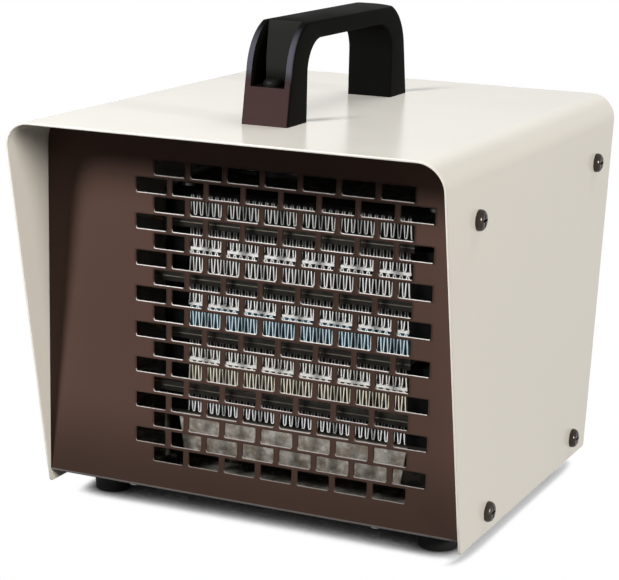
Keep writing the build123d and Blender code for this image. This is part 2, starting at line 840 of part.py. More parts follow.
def motor_screws():
    length = motor_back - crossbar_back + bracket_sheet
    one = Rot(-90, 0, 0) * screw(motor_head_radius, motor_head_height, motor_screw_radius, length)
    return [Pos(x, motor_back, element_z) * one for x in motor_screw_x]


def motor_rotor():
    ring_front = stack_front
    ring_back = stack_back
    body_front = ring_front + rotor_ring_length
    body_back = ring_back - rotor_ring_length
    rotor = rod_y(rotor_ring, ring_front, ring_back, duct_offset, element_z)
    rotor = rotor + rod_y(rotor_radius, body_front, body_back, duct_offset, element_z)
    return rotor - rod_y(shaft_radius + shaft_fit, ring_front, ring_back, duct_offset, element_z)


def motor_shaft():
    return rod_y(shaft_radius, shaft_front, shaft_back, duct_offset, element_z)


# Fasteners inside the casing, all alike
def chassis_screws():
    one = screw(case_head_radius, case_head_height, case_shank_radius, case_shank_length)
    solids = []
    for x in base_screw_x:
        for y in (front_screw_y, rear_screw_y):
            solids.append(Pos(x, y, base_z) * Rot(180, 0, 0) * one)
    for x in cradle_screw_x:
        solids.append(Pos(x, cradle_screw_y, pan_top + cradle_sheet) * one)
    for x in duct_screw_x:
        for y in duct_screw_y:
            solids.append(Pos(x, y, pan_top + duct_sheet) * one)
    for x in frame_screw_x:
        solids.append(Pos(x, frame_screw_y, pack_high + pack_plate_sheet) * one)
        solids.append(Pos(x, frame_screw_y, pack_low - cradle_sheet) * Rot(180, 0, 0) * one)
    for z in shroud_screw_z:
        solids.append(Pos(duct_left - duct_sheet, shroud_screw_y, z) * Rot(0, -90, 0) * one)
        solids.append(Pos(duct_right + duct_sheet, shroud_screw_y, z) * Rot(0, 90, 0) * one)
    for x in bracket_screw_x:
        for z in bracket_screw_z:
            solids.append(Pos(x, shroud_back + bracket_sheet, z) * Rot(-90, 0, 0) * one)
    for x in cutout_screw_x:
        solids.append(Pos(x, cutout_y, duct_top + duct_sheet + cutout_ear_height) * one)
    return solids


# Controls
def control_body(z, width, depth):
    front = rear_inner_y - depth
    half = width / 2
    body = block(control_x - half, control_x + half, front, rear_inner_y, z - half, z + half)
    body = body + rod_y(bush_radius, rear_inner_y, rear_y + bush_reach, control_x, z)
    return body - rod_y(spindle_radius + running_fit, front + spindle_seat, rear_y + bush_reach, control_x, z)


def control_spindle(z, depth):
    front = rear_inner_y - depth + spindle_seat + case_gap
    back = rear_y + knob_gap + knob_recess_depth + knob_grip_depth
    return rod_y(spindle_radius, front, back, control_x, z)


def control_nut(z):
    one = nut(control_nut_width, control_nut_height, bush_radius + thread_clearance)
    return Pos(control_x, rear_y, z) * Rot(-90, 0, 0) * one


def control_knob(z):
    base = rear_y + knob_gap
    face = base + knob_disc
    tip = face + knob_grip_height
    knob = rod_y(knob_radius, base, face, control_x, z)
    knob = fillet(knob.edges().group_by(Axis.Y)[-1], knob_edge)
    grip_length = 2 * knob_radius - 2 * knob_edge
    grip = Pos(control_x, z) * SlotOverall(grip_length, knob_grip_width, rotation=90)
    grip = slab_y(grip, base, tip)
    grip = fillet(grip.edges().group_by(Axis.Y)[-1], knob_edge)
    knob = knob + grip
    knob = knob - rod_y(knob_recess_radius, base, base + knob_disc - knob_edge, control_x, z)
    knob = knob - rod_y(bush_radius + knob_gap, base, base + knob_recess_depth, control_x, z)
    seat = base + knob_recess_depth
    knob = knob - rod_y(spindle_radius + shaft_fit, seat - knob_gap, seat + knob_grip_depth, control_x, z)
    half = knob_mark_width / 2
    return knob - block(control_x - half, control_x + half, tip - knob_mark_depth, tip, z, z + knob_radius)


def cable_gland():
    nose = rear_y + gland_nose
    gland = rod_y(gland_radius, rear_y, rear_y + gland_nose / 2, control_x, gland_z)
    gland = gland + rod_y(gland_nose_radius, rear_y, nose, control_x, gland_z)
    gland = gland + rod_y(gland_thread_radius, rear_y - gland_thread_length, rear_y, control_x, gland_z)
    return gland - rod_y(gland_bore_radius, rear_y - gland_thread_length, nose, control_x, gland_z)


def gland_nut():
    one = nut(gland_nut_width, gland_nut_height, gland_thread_radius + thread_clearance)
    return Pos(control_x, rear_inner_y, gland_z) * Rot(90, 0, 0) * one


def pole_y(pole):
    return terminal_y + (pole - (terminal_poles - 1) / 2) * terminal_length / terminal_poles


def terminal_block():
    half_x = terminal_width / 2
    half_y = terminal_length / 2
    top = pan_top + terminal_height
    left = terminal_x - half_x
    right = terminal_x + half_x
    body = block(left, right, terminal_y - half_y, terminal_y + half_y, pan_top, top)
    bore_z = pan_top + terminal_height / 2 - terminal_bore_radius
    for pole in range(terminal_poles):
        y = pole_y(pole)
        body = body - rod_x(terminal_bore_radius, left, right, y, bore_z)
        screw_x = terminal_x - half_x / 2
        body = body - rod_z(terminal_screw_radius, top - terminal_screw_depth, top, screw_x, y)
    return body


def thermal_cutout():
    low = duct_top + duct_sheet
    body = rod_z(cutout_radius, low, low + cutout_height, cutout_x, cutout_y)
    half = cutout_ear_width / 2
    body = body + block(cutout_x - cutout_ear - half / 2, cutout_x + cutout_ear + half / 2,
                        cutout_y - half, cutout_y + half, low, low + cutout_ear_height)
    for x in cutout_screw_x:
        body = body - rod_z(case_hole, low, low + cutout_ear_height, x, cutout_y)
    return body


def lead(points):
    """Round lead along straight runs joined by arcs as wide as the runs allow."""
    places = [Vector(*p) for p in points]
    radii = []
    for before, corner, after in zip(places, places[1:], places[2:]):
        turn = math.radians((corner - before).get_angle(after - corner))
        shorter = min((corner - before).length, (after - corner).length)
        radii.append(lead_bend_share * shorter / math.tan(turn / 2))
    path = FilletPolyline(*points, radius=radii)
    start = Plane(origin=path @ 0, z_dir=path % 0)
    tube = sweep(start * Circle(lead_radius), path=path)
    ideal = math.pi * lead_radius**2 * path.length
    print("lead radii", [round(r, 1) for r in radii], "volume share", round(tube.volume / ideal, 4))
    return tube


def internal_leads():
    block_top = pan_top + terminal_height
    block_side = terminal_x + terminal_width / 2
    lead_x = terminal_x + terminal_width / 4
    switch_front = rear_inner_y - mode_depth
    stat_front = rear_inner_y - thermostat_depth
    tab_tip = frame_left - tab_reach
    tab_y = (frame_front + bar_front) / 2 + tab_width
    tab_rise = bar_wall + stone_clearance + tab_thickness / 2
    tab_low = bar_lows[-1] + tab_rise
    tab_high = bar_lows[0] + tab_rise
    coil_left = duct_offset - stack_window_half + coil_gap
    coil_y = (stack_front + stack_back) / 2
    coil_z = element_z - stack_bottom - coil_gap - coil_build / 2
    cutout_top = duct_top + duct_sheet + cutout_height
    bore_z = pan_top + terminal_height / 2 - terminal_bore_radius
    supply = lead([(lead_x, pole_y(0), block_top), (lead_x, pole_y(0), block_top + 22), (-79, 32, 88),
                   (-77, 42, 118), (control_x, switch_front - 14, mode_z), (control_x, switch_front, mode_z)])
    neutral = lead([(lead_x, pole_y(1), block_top), (lead_x, pole_y(1), block_top + 14), (-67, 16, 55),
                    (-66, -20, 58), (tab_tip - 10, tab_y, tab_low), (tab_tip, tab_y, tab_low)])
    heat = lead([(control_x + 8, switch_front, mode_z + 8), (control_x + 8, switch_front - 16, mode_z + 8),
                 (-64, 14, 144), (-66, -22, 140), (tab_tip - 10, tab_y, tab_high),
                 (tab_tip, tab_y, tab_high)])
    safety = lead([(control_x, stat_front, thermostat_z + 8), (control_x, stat_front - 14, thermostat_z + 8),
                   (-70, 22, 128), (duct_left - lead_side_gap, 4, duct_top + lead_top_gap),
                   (cutout_x - cutout_ear, -8, duct_top + 2 * lead_top_gap),
                   (cutout_x, cutout_y, cutout_top + 12), (cutout_x, cutout_y, cutout_top)])
    motor = lead([(block_side - tab_grip, pole_y(2), bore_z), (-56, pole_y(2), bore_z),
                  (-36, pole_y(2) + 1, 28), (coil_left - 14, coil_y, coil_z), (coil_left, coil_y, coil_z)])
    return [supply, neutral, heat, safety, motor]


# Write every piece to its own file
save("outer_shell", outer_shell())
save("front_panel", front_panel())
save("rear_panel", rear_panel())
save("base_pan", base_pan())
save("side_screws", *side_screws())
save("chassis_screws", *chassis_screws())
save("carry_handle", carry_handle())
save("handle_screws", *handle_screws())
save("handle_nuts", *handle_nuts())
for name, (x, y) in foot_places.items():
    save(name, foot(x, y))
save("foot_screws", *foot_screws())
save("foot_nuts", *foot_nuts())

for m in range(bar_count):
    save(f"heater_fin_{2 * m + 1}", heater_fin(module_top(m) - fin_height))
    save(f"ptc_bar_{m + 1}", ptc_bar(bar_lows[m]))
    save(f"heater_fin_{2 * m + 2}", heater_fin(bar_lows[m] - fin_height))
save("ptc_stones", *[stone for low in bar_lows for stone in bar_stones(low)])
save("bar_terminals", *[bar_tab(low) for low in bar_lows])
save("spacer_strips", *[spacer_strip(low - fin_height - strip_height) for low in bar_lows[:-1]])
save("end_frame_left", end_frame(frame_left, fin_left - end_gap))
save("end_frame_right", end_frame(fin_right + end_gap, frame_right))
save("pack_plate", pack_plate())
save("element_cradle", element_cradle())

save("air_duct", air_duct())
save("fan_shroud", fan_shroud())
save("fan_impeller", fan_impeller())
save("fan_nut", fan_nut())
save("motor_bracket", motor_bracket())
save("bearing_bridge_front", bearing_bridge(crossbar_back, 1))
save("bearing_bridge_rear", bearing_bridge(motor_back, -1))
save("motor_bearings", *motor_bearings())
save("motor_stator", motor_stator())
save("motor_coil", motor_coil())
save("motor_screws", *motor_screws())
save("motor_rotor", motor_rotor())
save("motor_shaft", motor_shaft())

save("mode_switch", control_body(mode_z, mode_body, mode_depth))
save("mode_spindle", control_spindle(mode_z, mode_depth))
save("mode_knob", control_knob(mode_z))
save("thermostat", control_body(thermostat_z, thermostat_body, thermostat_depth))
save("thermostat_spindle", control_spindle(thermostat_z, thermostat_depth))
save("thermostat_knob", control_knob(thermostat_z))
save("control_nuts", control_nut(mode_z), control_nut(thermostat_z))
save("cable_gland", cable_gland())
save("gland_nut", gland_nut())
save("terminal_block", terminal_block())
save("thermal_cutout", thermal_cutout())
save("internal_leads", *internal_leads())
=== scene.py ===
import json
import math

import bpy
import numpy as np
from mathutils import Matrix, Vector


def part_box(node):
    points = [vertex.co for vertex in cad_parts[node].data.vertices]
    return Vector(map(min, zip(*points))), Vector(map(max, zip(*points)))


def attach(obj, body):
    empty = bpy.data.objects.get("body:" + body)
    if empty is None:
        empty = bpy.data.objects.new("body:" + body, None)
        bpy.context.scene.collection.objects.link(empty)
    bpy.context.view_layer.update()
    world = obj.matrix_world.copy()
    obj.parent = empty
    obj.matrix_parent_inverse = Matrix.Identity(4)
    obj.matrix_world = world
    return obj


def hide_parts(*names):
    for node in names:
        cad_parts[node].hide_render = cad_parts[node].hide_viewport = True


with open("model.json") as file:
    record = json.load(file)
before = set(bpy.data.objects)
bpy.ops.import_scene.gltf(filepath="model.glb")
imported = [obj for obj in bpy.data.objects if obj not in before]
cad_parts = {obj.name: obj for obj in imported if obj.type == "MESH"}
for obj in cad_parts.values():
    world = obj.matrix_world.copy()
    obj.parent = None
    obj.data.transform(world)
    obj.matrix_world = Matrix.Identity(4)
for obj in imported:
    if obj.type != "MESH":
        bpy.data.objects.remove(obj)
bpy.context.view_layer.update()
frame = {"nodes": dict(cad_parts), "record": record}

bl_info = {
    "name": "Ceramic Space Heater",
    "version": (1, 0, 0),
    "blender": (4, 5, 0),
    "location": "View3D > Sidebar > Heater",
    "description": "Casing, grilles and finishes of a portable ceramic heater, built round its packed frame",
    "category": "Object",
}

# Finish of each node: that of its slot, or one of its own
FINISH = "finish_"
SLOT_OF = {part["node"]: part["material_slot"] for part in frame["record"]["subparts"]}
OWN_FINISH = {"handle_screws": "screw_dull", "air_duct": "galvanised_dull", "base_pan": "galvanised_pale",
              "element_cradle": "galvanised_sooted"}

# Steps of the meshes, and the distance within which points are one
MERGE_GAP = 0.000001
LIP_STEPS = 3
SIDE_POINTS = 12
BEND_STEPS = 14
TOP_POINTS = 9
BRICK_ACROSS = 8
BRICK_UPRIGHT = 6
CORNER_STEPS = 4
LEFT_STEPS = 6
RIGHT_STEPS = 3
FOOT_STEPS = 3
CURVE_STEPS = 8
FOLD_STEPS = 6
FIN_ARC_POINTS = 7
LEAN_ROUNDS = 20

# Panel shapes: top corners, ends of the side flanges, and the inner lip's turns in degrees
PANEL_CORNER = 0.0107
FLANGE_FOOT = 0.004
FLANGE_HEAD = 0.001
BACK_LIP = (45, 0)

# Painted highlights on the sills of the slots: shine by the outer lip's turn in degrees, and how far it
# reaches up the side
LIP_SHINE = {0: 0.0, 8: 0.0, 30: 0.6, 60: 1.0, 90: 1.0}
SILL_TICK = 0.0011

# Painted light on the panels, as a rim number: painted highlight above zero, painted shade below; then the
# height of the painted shade at the foot and the highlight colour
SILL_HIGHLIGHT_FADE = 0.15
FOLD_HIGHLIGHT = 0.16
WEB_SHADE = 0.55
EDGE_SHADE = 0.75
LOW_SHADE = 0.25
FOOT_SHADE = 0.045
HIGHLIGHT_PALE = (0.92, 0.90, 0.87)

# Heat colours of the fins, counted from the top, the painted shade on their walls and at their top folds, and
# the painted highlight line of the bars
FIN_TINTS = {1: (0.97, 0.96, 0.92), 2: (0.95, 0.93, 0.9), 3: (1, 0.98, 0.95), 4: (1, 1, 0.98),
             5: (0.72, 0.9, 0.98), 6: (0.98, 0.95, 0.88), 7: (1, 0.92, 0.74), 8: (1, 1, 1)}
WALL_SHADE = (0.03, 0.03, 0.03)
WALL_SHADE_TINTS = {5: (0.045, 0.125, 0.17), 6: (0.05, 0.045, 0.035), 7: (0.11, 0.095, 0.055)}
LAYER_LEAD = 0.005
FOLD_SHADE = 0.0010
BAR_HIGHLIGHT_HALF = 0.00017

# Handle: painted reflections of its ends and painted sheen of its outer faces, how far outwards they face
# there, and the screw pockets
HANDLE_RIM_REFLECTION = (0.066, 0.066, 0.082)
HANDLE_SLOPE_REFLECTION = (0.020, 0.020, 0.019)
HANDLE_SHEEN = (0.043, 0.025, 0.025)
REFLECTION_FACING = (0.45, 0.9)
SHEEN_FACING = (0.75, 0.95)
POCKET_RISE = 0.016
POCKET_WALL = 0.003
BEVEL_ANGLE = 35

# Zinc stains, and painted shade behind the front of the cradle and along its top
ZINC_STAIN = (0.20, 0.165, 0.12)
SHADE_START = 0.002
SHADE_FULL = 0.005
SHADE_BAND = 0.0008

# Depth of the bump on paint, worked metal, burnt patches and wire
GRAIN_DEPTH = 0.0002
STREAK_DEPTH = 0.0001
PATCH_DEPTH = 0.0003
WIRE_DEPTH = 0.0004

# Floor: shadows by how much of the sky is open, from and to, and the level there, from and to
FLOOR_SIDE = 0.8
SKY_REACH = 0.05
SKY_SAMPLES = 32
CONTACT_SHADOW = (0.075, 0.25, 0.06, 1.0)
RIGHT_SHADOW = (0.3, 0.48, 0.52, 1.0)
RIGHT_SHADOW_X = (0.09, 0.1)
RIGHT_SHADOW_BLUR = 0.008

# Lamps, all turned to one point
LAMP_AIM = (0, 0, 0.09)
KEY_LAMP = {"size": (0.2, 0.46), "distance": 1.3, "towards": (-0.405, -0.737, 0.541)}
SIDE_LAMP = {"size": (0.6, 0.6), "distance": 3.5, "towards": (0.94, -0.19, 0.17), "colour": (1.0, 0.96, 0.91)}
TOP_LAMP = {"size": (0.8, 0.8), "distance": 1.3, "towards": (0.15, 0.45, 0.88)}

# Camera: its directions and its place
CAMERA_RIGHT = (0.90583364, 0.42308905, 0.02147256)
CAMERA_UP = (-0.11726204, 0.20170683, 0.97240114)
CAMERA_BACK = (0.40708111, -0.88335158, 0.23232512)
CAMERA_PLACE = (0.36610, -0.81193, 0.30463)
SENSOR_MM = 36.0
CLIP = (0.05, 50.0)


# Sizes and colours a user would change
class HeaterSizes(bpy.types.PropertyGroup):
    sheet: bpy.props.FloatProperty(
        name="Casing sheet", description="Thickness of the folded casing", default=0.001, unit="LENGTH")
    bend: bpy.props.FloatProperty(
        name="Casing bend", description="Outer radius of the casing's two bends", default=0.012,
        unit="LENGTH")
    corner: bpy.props.FloatProperty(
        name="Corner radius", description="Rounding of the casing's lower corners", default=0.002,
        unit="LENGTH")
    lip: bpy.props.FloatProperty(
        name="Cut edge rounding", description="Rounding of the casing's cut edges", default=0.0003,
        unit="LENGTH")
    panel: bpy.props.FloatProperty(
        name="Panel sheet", description="Thickness of the front and rear panels", default=0.0008,
        unit="LENGTH")
    slot_width: bpy.props.FloatProperty(
        name="Slot width", description="Width of one air slot", default=0.0147, unit="LENGTH")
    slot_height: bpy.props.FloatProperty(
        name="Slot height", description="Height of one air slot", default=0.0064, unit="LENGTH")
    slot_corner: bpy.props.FloatProperty(
        name="Slot corner", description="Corner radius of one air slot", default=0.0005, unit="LENGTH")
    slot_lip: bpy.props.FloatProperty(
        name="Slot lip", description="Rounding of the slot edges", default=0.00038, unit="LENGTH")
    web_x: bpy.props.FloatProperty(
        name="Web between slots", description="Metal left between slots of a row", default=0.00288,
        unit="LENGTH")
    web_z: bpy.props.FloatProperty(
        name="Web between rows", description="Metal left between rows of slots", default=0.00161,
        unit="LENGTH")
    rows: bpy.props.IntProperty(name="Rows", description="Rows of air slots", default=17)
    long_row: bpy.props.IntProperty(
        name="Slots in a long row", description="Slots in every second row", default=8)
    grille_z: bpy.props.FloatProperty(
        name="Grille middle, up", description="Height of the middle row", default=0.0928, unit="LENGTH")
    intake_radius: bpy.props.FloatProperty(
        name="Intake radius", description="Radius of the rear field of slots", default=0.056, unit="LENGTH")
    fold: bpy.props.FloatProperty(
        name="Fold radius", description="Outer radius of the panels' lower fold", default=0.0016,
        unit="LENGTH")
    flange: bpy.props.FloatProperty(
        name="Flange depth", description="Depth of the panels' folded edges", default=0.014, unit="LENGTH")
    fin_sheet: bpy.props.FloatProperty(
        name="Fin sheet", description="Thickness of the folded heating fins", default=0.00055, unit="LENGTH")
    fin_pitch: bpy.props.FloatProperty(
        name="Fin pitch", description="Length of one wave of a heating fin", default=0.003, unit="LENGTH")
    fin_bend: bpy.props.FloatProperty(
        name="Fin bend", description="Radius of the fins' folds at the middle of the sheet", default=0.0005,
        unit="LENGTH")
    handle_edge: bpy.props.FloatProperty(
        name="Handle edge", description="Rounding of the handle's moulded edges", default=0.0004,
        unit="LENGTH")


class HeaterColours(bpy.types.PropertyGroup):
    shell: bpy.props.FloatVectorProperty(
        name="Casing enamel", description="Colour of the casing", default=(0.80, 0.77, 0.70), subtype="COLOR")
    panel: bpy.props.FloatVectorProperty(
        name="Panel enamel", description="Colour of the front and rear panels", default=(0.080, 0.047, 0.037),
        subtype="COLOR")
    handle: bpy.props.FloatVectorProperty(
        name="Handle plastic", description="Colour of the carry handle", default=(0.0042, 0.0042, 0.0038),
        subtype="COLOR")
    fin: bpy.props.FloatVectorProperty(
        name="Fin aluminium", description="Colour of the heating fins", default=(0.86, 0.86, 0.85),
        subtype="COLOR")
    bar: bpy.props.FloatVectorProperty(
        name="Bar metal", description="Colour of the heating bars", default=(0.017, 0.0155, 0.012),
        subtype="COLOR")
    zinc: bpy.props.FloatVectorProperty(
        name="Galvanised sheet", description="Colour of the inner sheet metal", default=(0.52, 0.49, 0.44),
        subtype="COLOR")


class HeaterStage(bpy.types.PropertyGroup):
    key: bpy.props.FloatProperty(
        name="Key light", description="Power of the soft light at the upper left", default=21.5, unit="POWER")
    side: bpy.props.FloatProperty(
        name="Side light", description="Power of the soft light at the right", default=83.0, unit="POWER")
    top: bpy.props.FloatProperty(
        name="Top light", description="Power of the soft light overhead", default=7.0, unit="POWER")
    room: bpy.props.FloatProperty(
        name="Room light", description="Strength of the even light from all round", default=0.04)
    gloss: bpy.props.FloatProperty(
        name="Seen in gloss", description="How white the room looks in reflections", default=0.73)
    lens: bpy.props.FloatProperty(
        name="Lens", description="Focal length on a 36 mm wide picture", default=115.5, unit="CAMERA")


# Mesh helpers
def middle(node):
    low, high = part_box(node)
    return (low + high) / 2


def mesh_piece(name, points, faces, smooth, body, replaced, rim=None):
    """Object from arrays: points (n, 3), faces (m, 3 or 4) all wound alike, smooth (m).

    Merges equal points, drops faces that lose a corner by it, and turns all faces outwards. The rim, where
    given, has one number for each point or for each face."""
    keys = np.round(points / MERGE_GAP).astype(np.int64)
    _, first, back = np.unique(keys, axis=0, return_index=True, return_inverse=True)
    faces = back.reshape(-1)[faces]
    ordered = np.sort(faces, 1)
    whole = (ordered[:, 1:] != ordered[:, :-1]).all(1)
    faces, smooth = faces[whole], smooth[whole]
    fan = points[first][faces]
    turned = np.cross(fan[:, 1], fan[:, 2]) + np.cross(fan[:, 2], fan[:, -1])
    volume = np.einsum("ij,ij->", fan[:, 0], turned)
    faces = faces if volume > 0 else faces[:, ::-1]
    mesh = bpy.data.meshes.new(name)
    mesh.from_pydata(points[first].tolist(), [], faces.tolist())
    mesh.polygons.foreach_set("use_smooth", smooth)
    if rim is not None:
        domain, kept = ("POINT", first) if len(rim) == len(points) else ("FACE", whole)
        mesh.attributes.new("rim", "FLOAT", domain).data.foreach_set("value", rim[kept].astype(np.float32))
    mesh.update()
    piece = bpy.data.objects.new(name, mesh)
    bpy.context.scene.collection.objects.link(piece)
    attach(piece, body)
    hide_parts(replaced)
    mesh.materials.append(bpy.data.materials[FINISH + SLOT_OF[replaced]])
    return piece


def grid_faces(rows, columns, wrap=False):
    """Quads of a grid of points numbered row by row; wrap joins the last column to the first."""
    across = columns if wrap else columns - 1
    i, j = np.meshgrid(np.arange(rows - 1) * columns, np.arange(across), indexing="ij")
    k = (j + 1) % columns
    return np.stack([i + j, i + k, i + columns + k, i + columns + j], -1).reshape(-1, 4)


def join_patches(patches):
    """One surface from patches, each a set of points, faces in its own numbering, smooth flags and rims."""
    points, faces, smooth, rims = zip(*patches)
    starts = np.cumsum([0] + [len(part) for part in points[:-1]])
    faces = [part + start for part, start in zip(faces, starts)]
    return [np.concatenate(parts) for parts in (points, faces, smooth, rims)]


def line_set(start, stop, steps):
    """Evenly spaced values, both ends included."""
    return np.linspace(start, stop, steps + 1)


def quarter(steps):
    """Angles of a quarter turn, both ends included."""
    return line_set(0, math.pi / 2, steps)


def stand_back(height, radius):
    """How far a quarter circle stands back from its upright tangent, at a height above its level one."""
    return radius - np.sqrt(np.maximum(radius**2 - (radius - height) ** 2, 0))


# Casing
def casing_section(sizes, low, high):
    """The bent sheet from the front: x and z of its middle line, the two parts of its outward direction, and
    the height above the lower edge as far as the rounding of the cut edge goes.

    Up the left side, round the bend as a quarter circle and along the top, then the same mirrored."""
    half, lip, wide = sizes.sheet / 2, sizes.lip, high[0]
    bend = sizes.bend - half
    rise = high[2] - sizes.bend - low[2]
    side = np.concatenate([[0, 0.3 * lip, lip, 3 * lip], np.linspace(0.006, 1, SIDE_POINTS) * rise])
    arc = quarter(BEND_STEPS)[1:]
    top = np.linspace(sizes.bend - wide, 0, TOP_POINTS)[1:]
    upright, level = np.ones(len(side)), np.ones(len(top))
    x = np.concatenate([upright * (half - wide), sizes.bend - wide - bend * np.cos(arc), top])
    z = np.concatenate([low[2] + side, high[2] - sizes.bend + bend * np.sin(arc), level * (high[2] - half)])
    out_x = np.concatenate([-upright, -np.cos(arc), 0 * level])
    out_z = np.concatenate([0 * upright, np.sin(arc), level])
    inset = np.concatenate([np.minimum(side, lip), np.full(len(arc) + len(top), lip)])
    section = np.stack([x, z, out_x, out_z, inset], 1)
    return np.concatenate([section, section[-2::-1] * [-1, 1, -1, 1, 1]])


def casing_surface(sizes):
    """The folded sheet as one closed surface: a loop round the sheet, carried along the bent section.

    The loop runs along the outer skin from front to rear, rounds the cut edge, and comes back along the
    inner skin. Front and rear ends follow straight raked lines in height, less a quarter circle at the
    lower corners."""
    low, high = (np.array(v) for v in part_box("outer_shell"))
    panel_front, panel_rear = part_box("front_panel")[0].y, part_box("rear_panel")[1].y
    half, lip = sizes.sheet / 2, sizes.lip
    a = quarter(LIP_STEPS)
    edge_gap, edge_depth = lip - lip * np.sin(a), half - lip + lip * np.cos(a)
    along = np.concatenate([[0.0, 0.004], np.linspace(0.08, 0.92, 9), [0.996, 1.0]])
    edge = np.ones(2 * len(a))
    share = np.concatenate([along, edge, along[::-1], 0 * edge])
    gap = np.tile(np.concatenate([np.full(len(along), lip), edge_gap, edge_gap[::-1]]), 2)
    depth = np.concatenate([np.full(len(along), half), edge_depth, -edge_depth[::-1]])
    depth = np.concatenate([depth, -depth])
    x, z, out_x, out_z, inset = (part[:, None] for part in casing_section(sizes, low, high).T)
    depth = depth[None] * (half - stand_back(inset, lip)) / half
    x, z = x + out_x * depth, z + out_z * depth
    up = (z - low[2]) / (high[2] - low[2])
    trim = stand_back(np.clip(z - low[2], 0, sizes.corner), sizes.corner)
    front = panel_front + (low[1] - panel_front) * up + trim
    rear = panel_rear + (high[1] - panel_rear) * up - trim
    y = (front + gap) * (1 - share) + (rear - gap) * share
    rows, columns = x.shape
    pair = np.arange(columns // 2 - 1)
    cap = np.stack([pair, pair + 1, columns - 1 - (pair + 1), columns - 1 - pair], 1)
    cap = np.roll(np.arange(columns), len(a))[cap]
    faces = [grid_faces(rows, columns, wrap=True), cap[:, ::-1], (rows - 1) * columns + cap]
    return np.stack([x, y, z], -1).reshape(-1, 3), np.concatenate(faces)


# Grille panels, laid out with the depth behind the face as y
class SlotField:
    """Pitch and box of the field of slots, in which each slot lies in a brick."""

    def __init__(self, sizes):
        self.pitch_x = sizes.slot_width + sizes.web_x
        self.pitch_z = sizes.slot_height + sizes.web_z
        self.middle_x = middle("heater_fin_1").x
        self.left = self.middle_x - sizes.long_row / 2 * self.pitch_x
        self.right = self.middle_x + sizes.long_row / 2 * self.pitch_x
        self.bottom = sizes.grille_z - sizes.rows / 2 * self.pitch_z
        self.top = sizes.grille_z + sizes.rows / 2 * self.pitch_z

    def rise(self, z):
        """Share of the field's height, 0 at the bottom and 1 at the top."""
        return (z - self.bottom) / (self.top - self.bottom)

    def places(self, sizes, keeps_slot):
        """Middles of the slots, row by row from the top; every second row has one slot more."""
        kept = []
        for row in range(sizes.rows):
            count = sizes.long_row - 1 + row % 2
            z = sizes.grille_z + ((sizes.rows - 1) / 2 - row) * self.pitch_z
            xs = [self.middle_x + (k - (count - 1) / 2) * self.pitch_x for k in range(count)]
            kept += [(x, 0, z) for x in xs if keeps_slot(x, z)]
        return np.array(kept)

    def brick_lines(self, sizes, low, high):
        """Upright and level lines of the panel's grid: even in the field of bricks, coarser outside it."""
        xs = [line_set(low[0], self.left, LEFT_STEPS)[:-1],
              line_set(self.left, self.right, BRICK_ACROSS * sizes.long_row),
              line_set(self.right, high[0], RIGHT_STEPS)[1:]]
        zs = [line_set(low[2] + sizes.fold, self.bottom, FOOT_STEPS)[:-1],
              line_set(self.bottom, self.top, BRICK_UPRIGHT * sizes.rows),
              high[2] - PANEL_CORNER + PANEL_CORNER * np.sin(quarter(CURVE_STEPS))]
        return np.concatenate(xs), np.concatenate(zs)


def shade_share(share):
    """Part of the painted shade that lies at a share of the field's height, less towards the bottom."""
    return LOW_SHADE + (1 - LOW_SHADE) * share


def slotted_sheet(sizes, field, xs, zs, high, places):
    """Both sides and the cut edges of the flat sheet: a grid that leaves out the bricks with a slot.

    Left and right of the field the grid narrows along a quarter circle at the top corners."""
    gx, gz = np.meshgrid(xs, zs, indexing="ij")
    left, right, wide = field.left, field.right, high[0]
    reach = wide - stand_back(np.minimum(high[2] - gz, PANEL_CORNER), PANEL_CORNER)
    gx = np.where(gx < left, left + (gx - left) * (reach + left) / (wide + left), gx)
    gx = np.where(gx > right, right + (gx - right) * (reach - right) / (wide - right), gx)
    solid = np.ones((len(xs) - 1, len(zs) - 1), bool)
    for x, _, z in places:
        i = LEFT_STEPS + int(round((x - field.pitch_x / 2 - left) / field.pitch_x * BRICK_ACROSS))
        j = FOOT_STEPS + int(round((z - field.pitch_z / 2 - field.bottom) / field.pitch_z * BRICK_UPRIGHT))
        solid[i:i + BRICK_ACROSS, j:j + BRICK_UPRIGHT] = False
    outer = np.stack([gx, np.zeros(gx.shape), gz], -1).reshape(-1, 3)
    inner = outer + [0, sizes.panel, 0]
    flat = grid_faces(len(xs), len(zs)).reshape(*solid.shape, 4)[solid]
    side, column = len(outer), len(zs)
    j = np.arange(column - 1)
    edge = np.stack([j, j + 1, j + 1 + side, j + side], 1)
    i = np.arange(1, len(xs)) * column - 1
    roof = np.stack([i, i + column, i + column + side, i + side], 1)
    faces = np.concatenate([flat[:, ::-1], flat + side, edge, edge[:, ::-1] + side - column, roof])
    beside = np.pad(solid, 1, constant_values=True)
    webbed = ~(beside[1:, 1:] | beside[:-1, 1:] | beside[1:, :-1] | beside[:-1, :-1])
    # Painted shade on the webs between slots, deeper higher up the field
    painted_shade = np.where(webbed, -WEB_SHADE * shade_share(np.clip(field.rise(gz), 0, 1)), 0.0).reshape(-1)
    return (np.concatenate([outer, inner]), faces, np.zeros(len(faces), bool),
            np.concatenate([painted_shade, np.zeros(side)]))


def brick_ring(half_x, half_z):
    """Edge of one brick as a loop that starts on its right side, a little below the upper corner."""
    across, upright = line_set(half_x, -half_x, BRICK_ACROSS), line_set(half_z, -half_z, BRICK_UPRIGHT)
    lead = CORNER_STEPS // 2
    rise, drop = upright[lead:0:-1], upright[1:-1 - lead]
    x = np.concatenate([np.full(len(rise), half_x), across, np.full(len(drop), -half_x)])
    z = np.concatenate([rise, np.full(len(across), half_z), drop])
    half = np.stack([x, z], 1)
    return np.concatenate([half, -half])


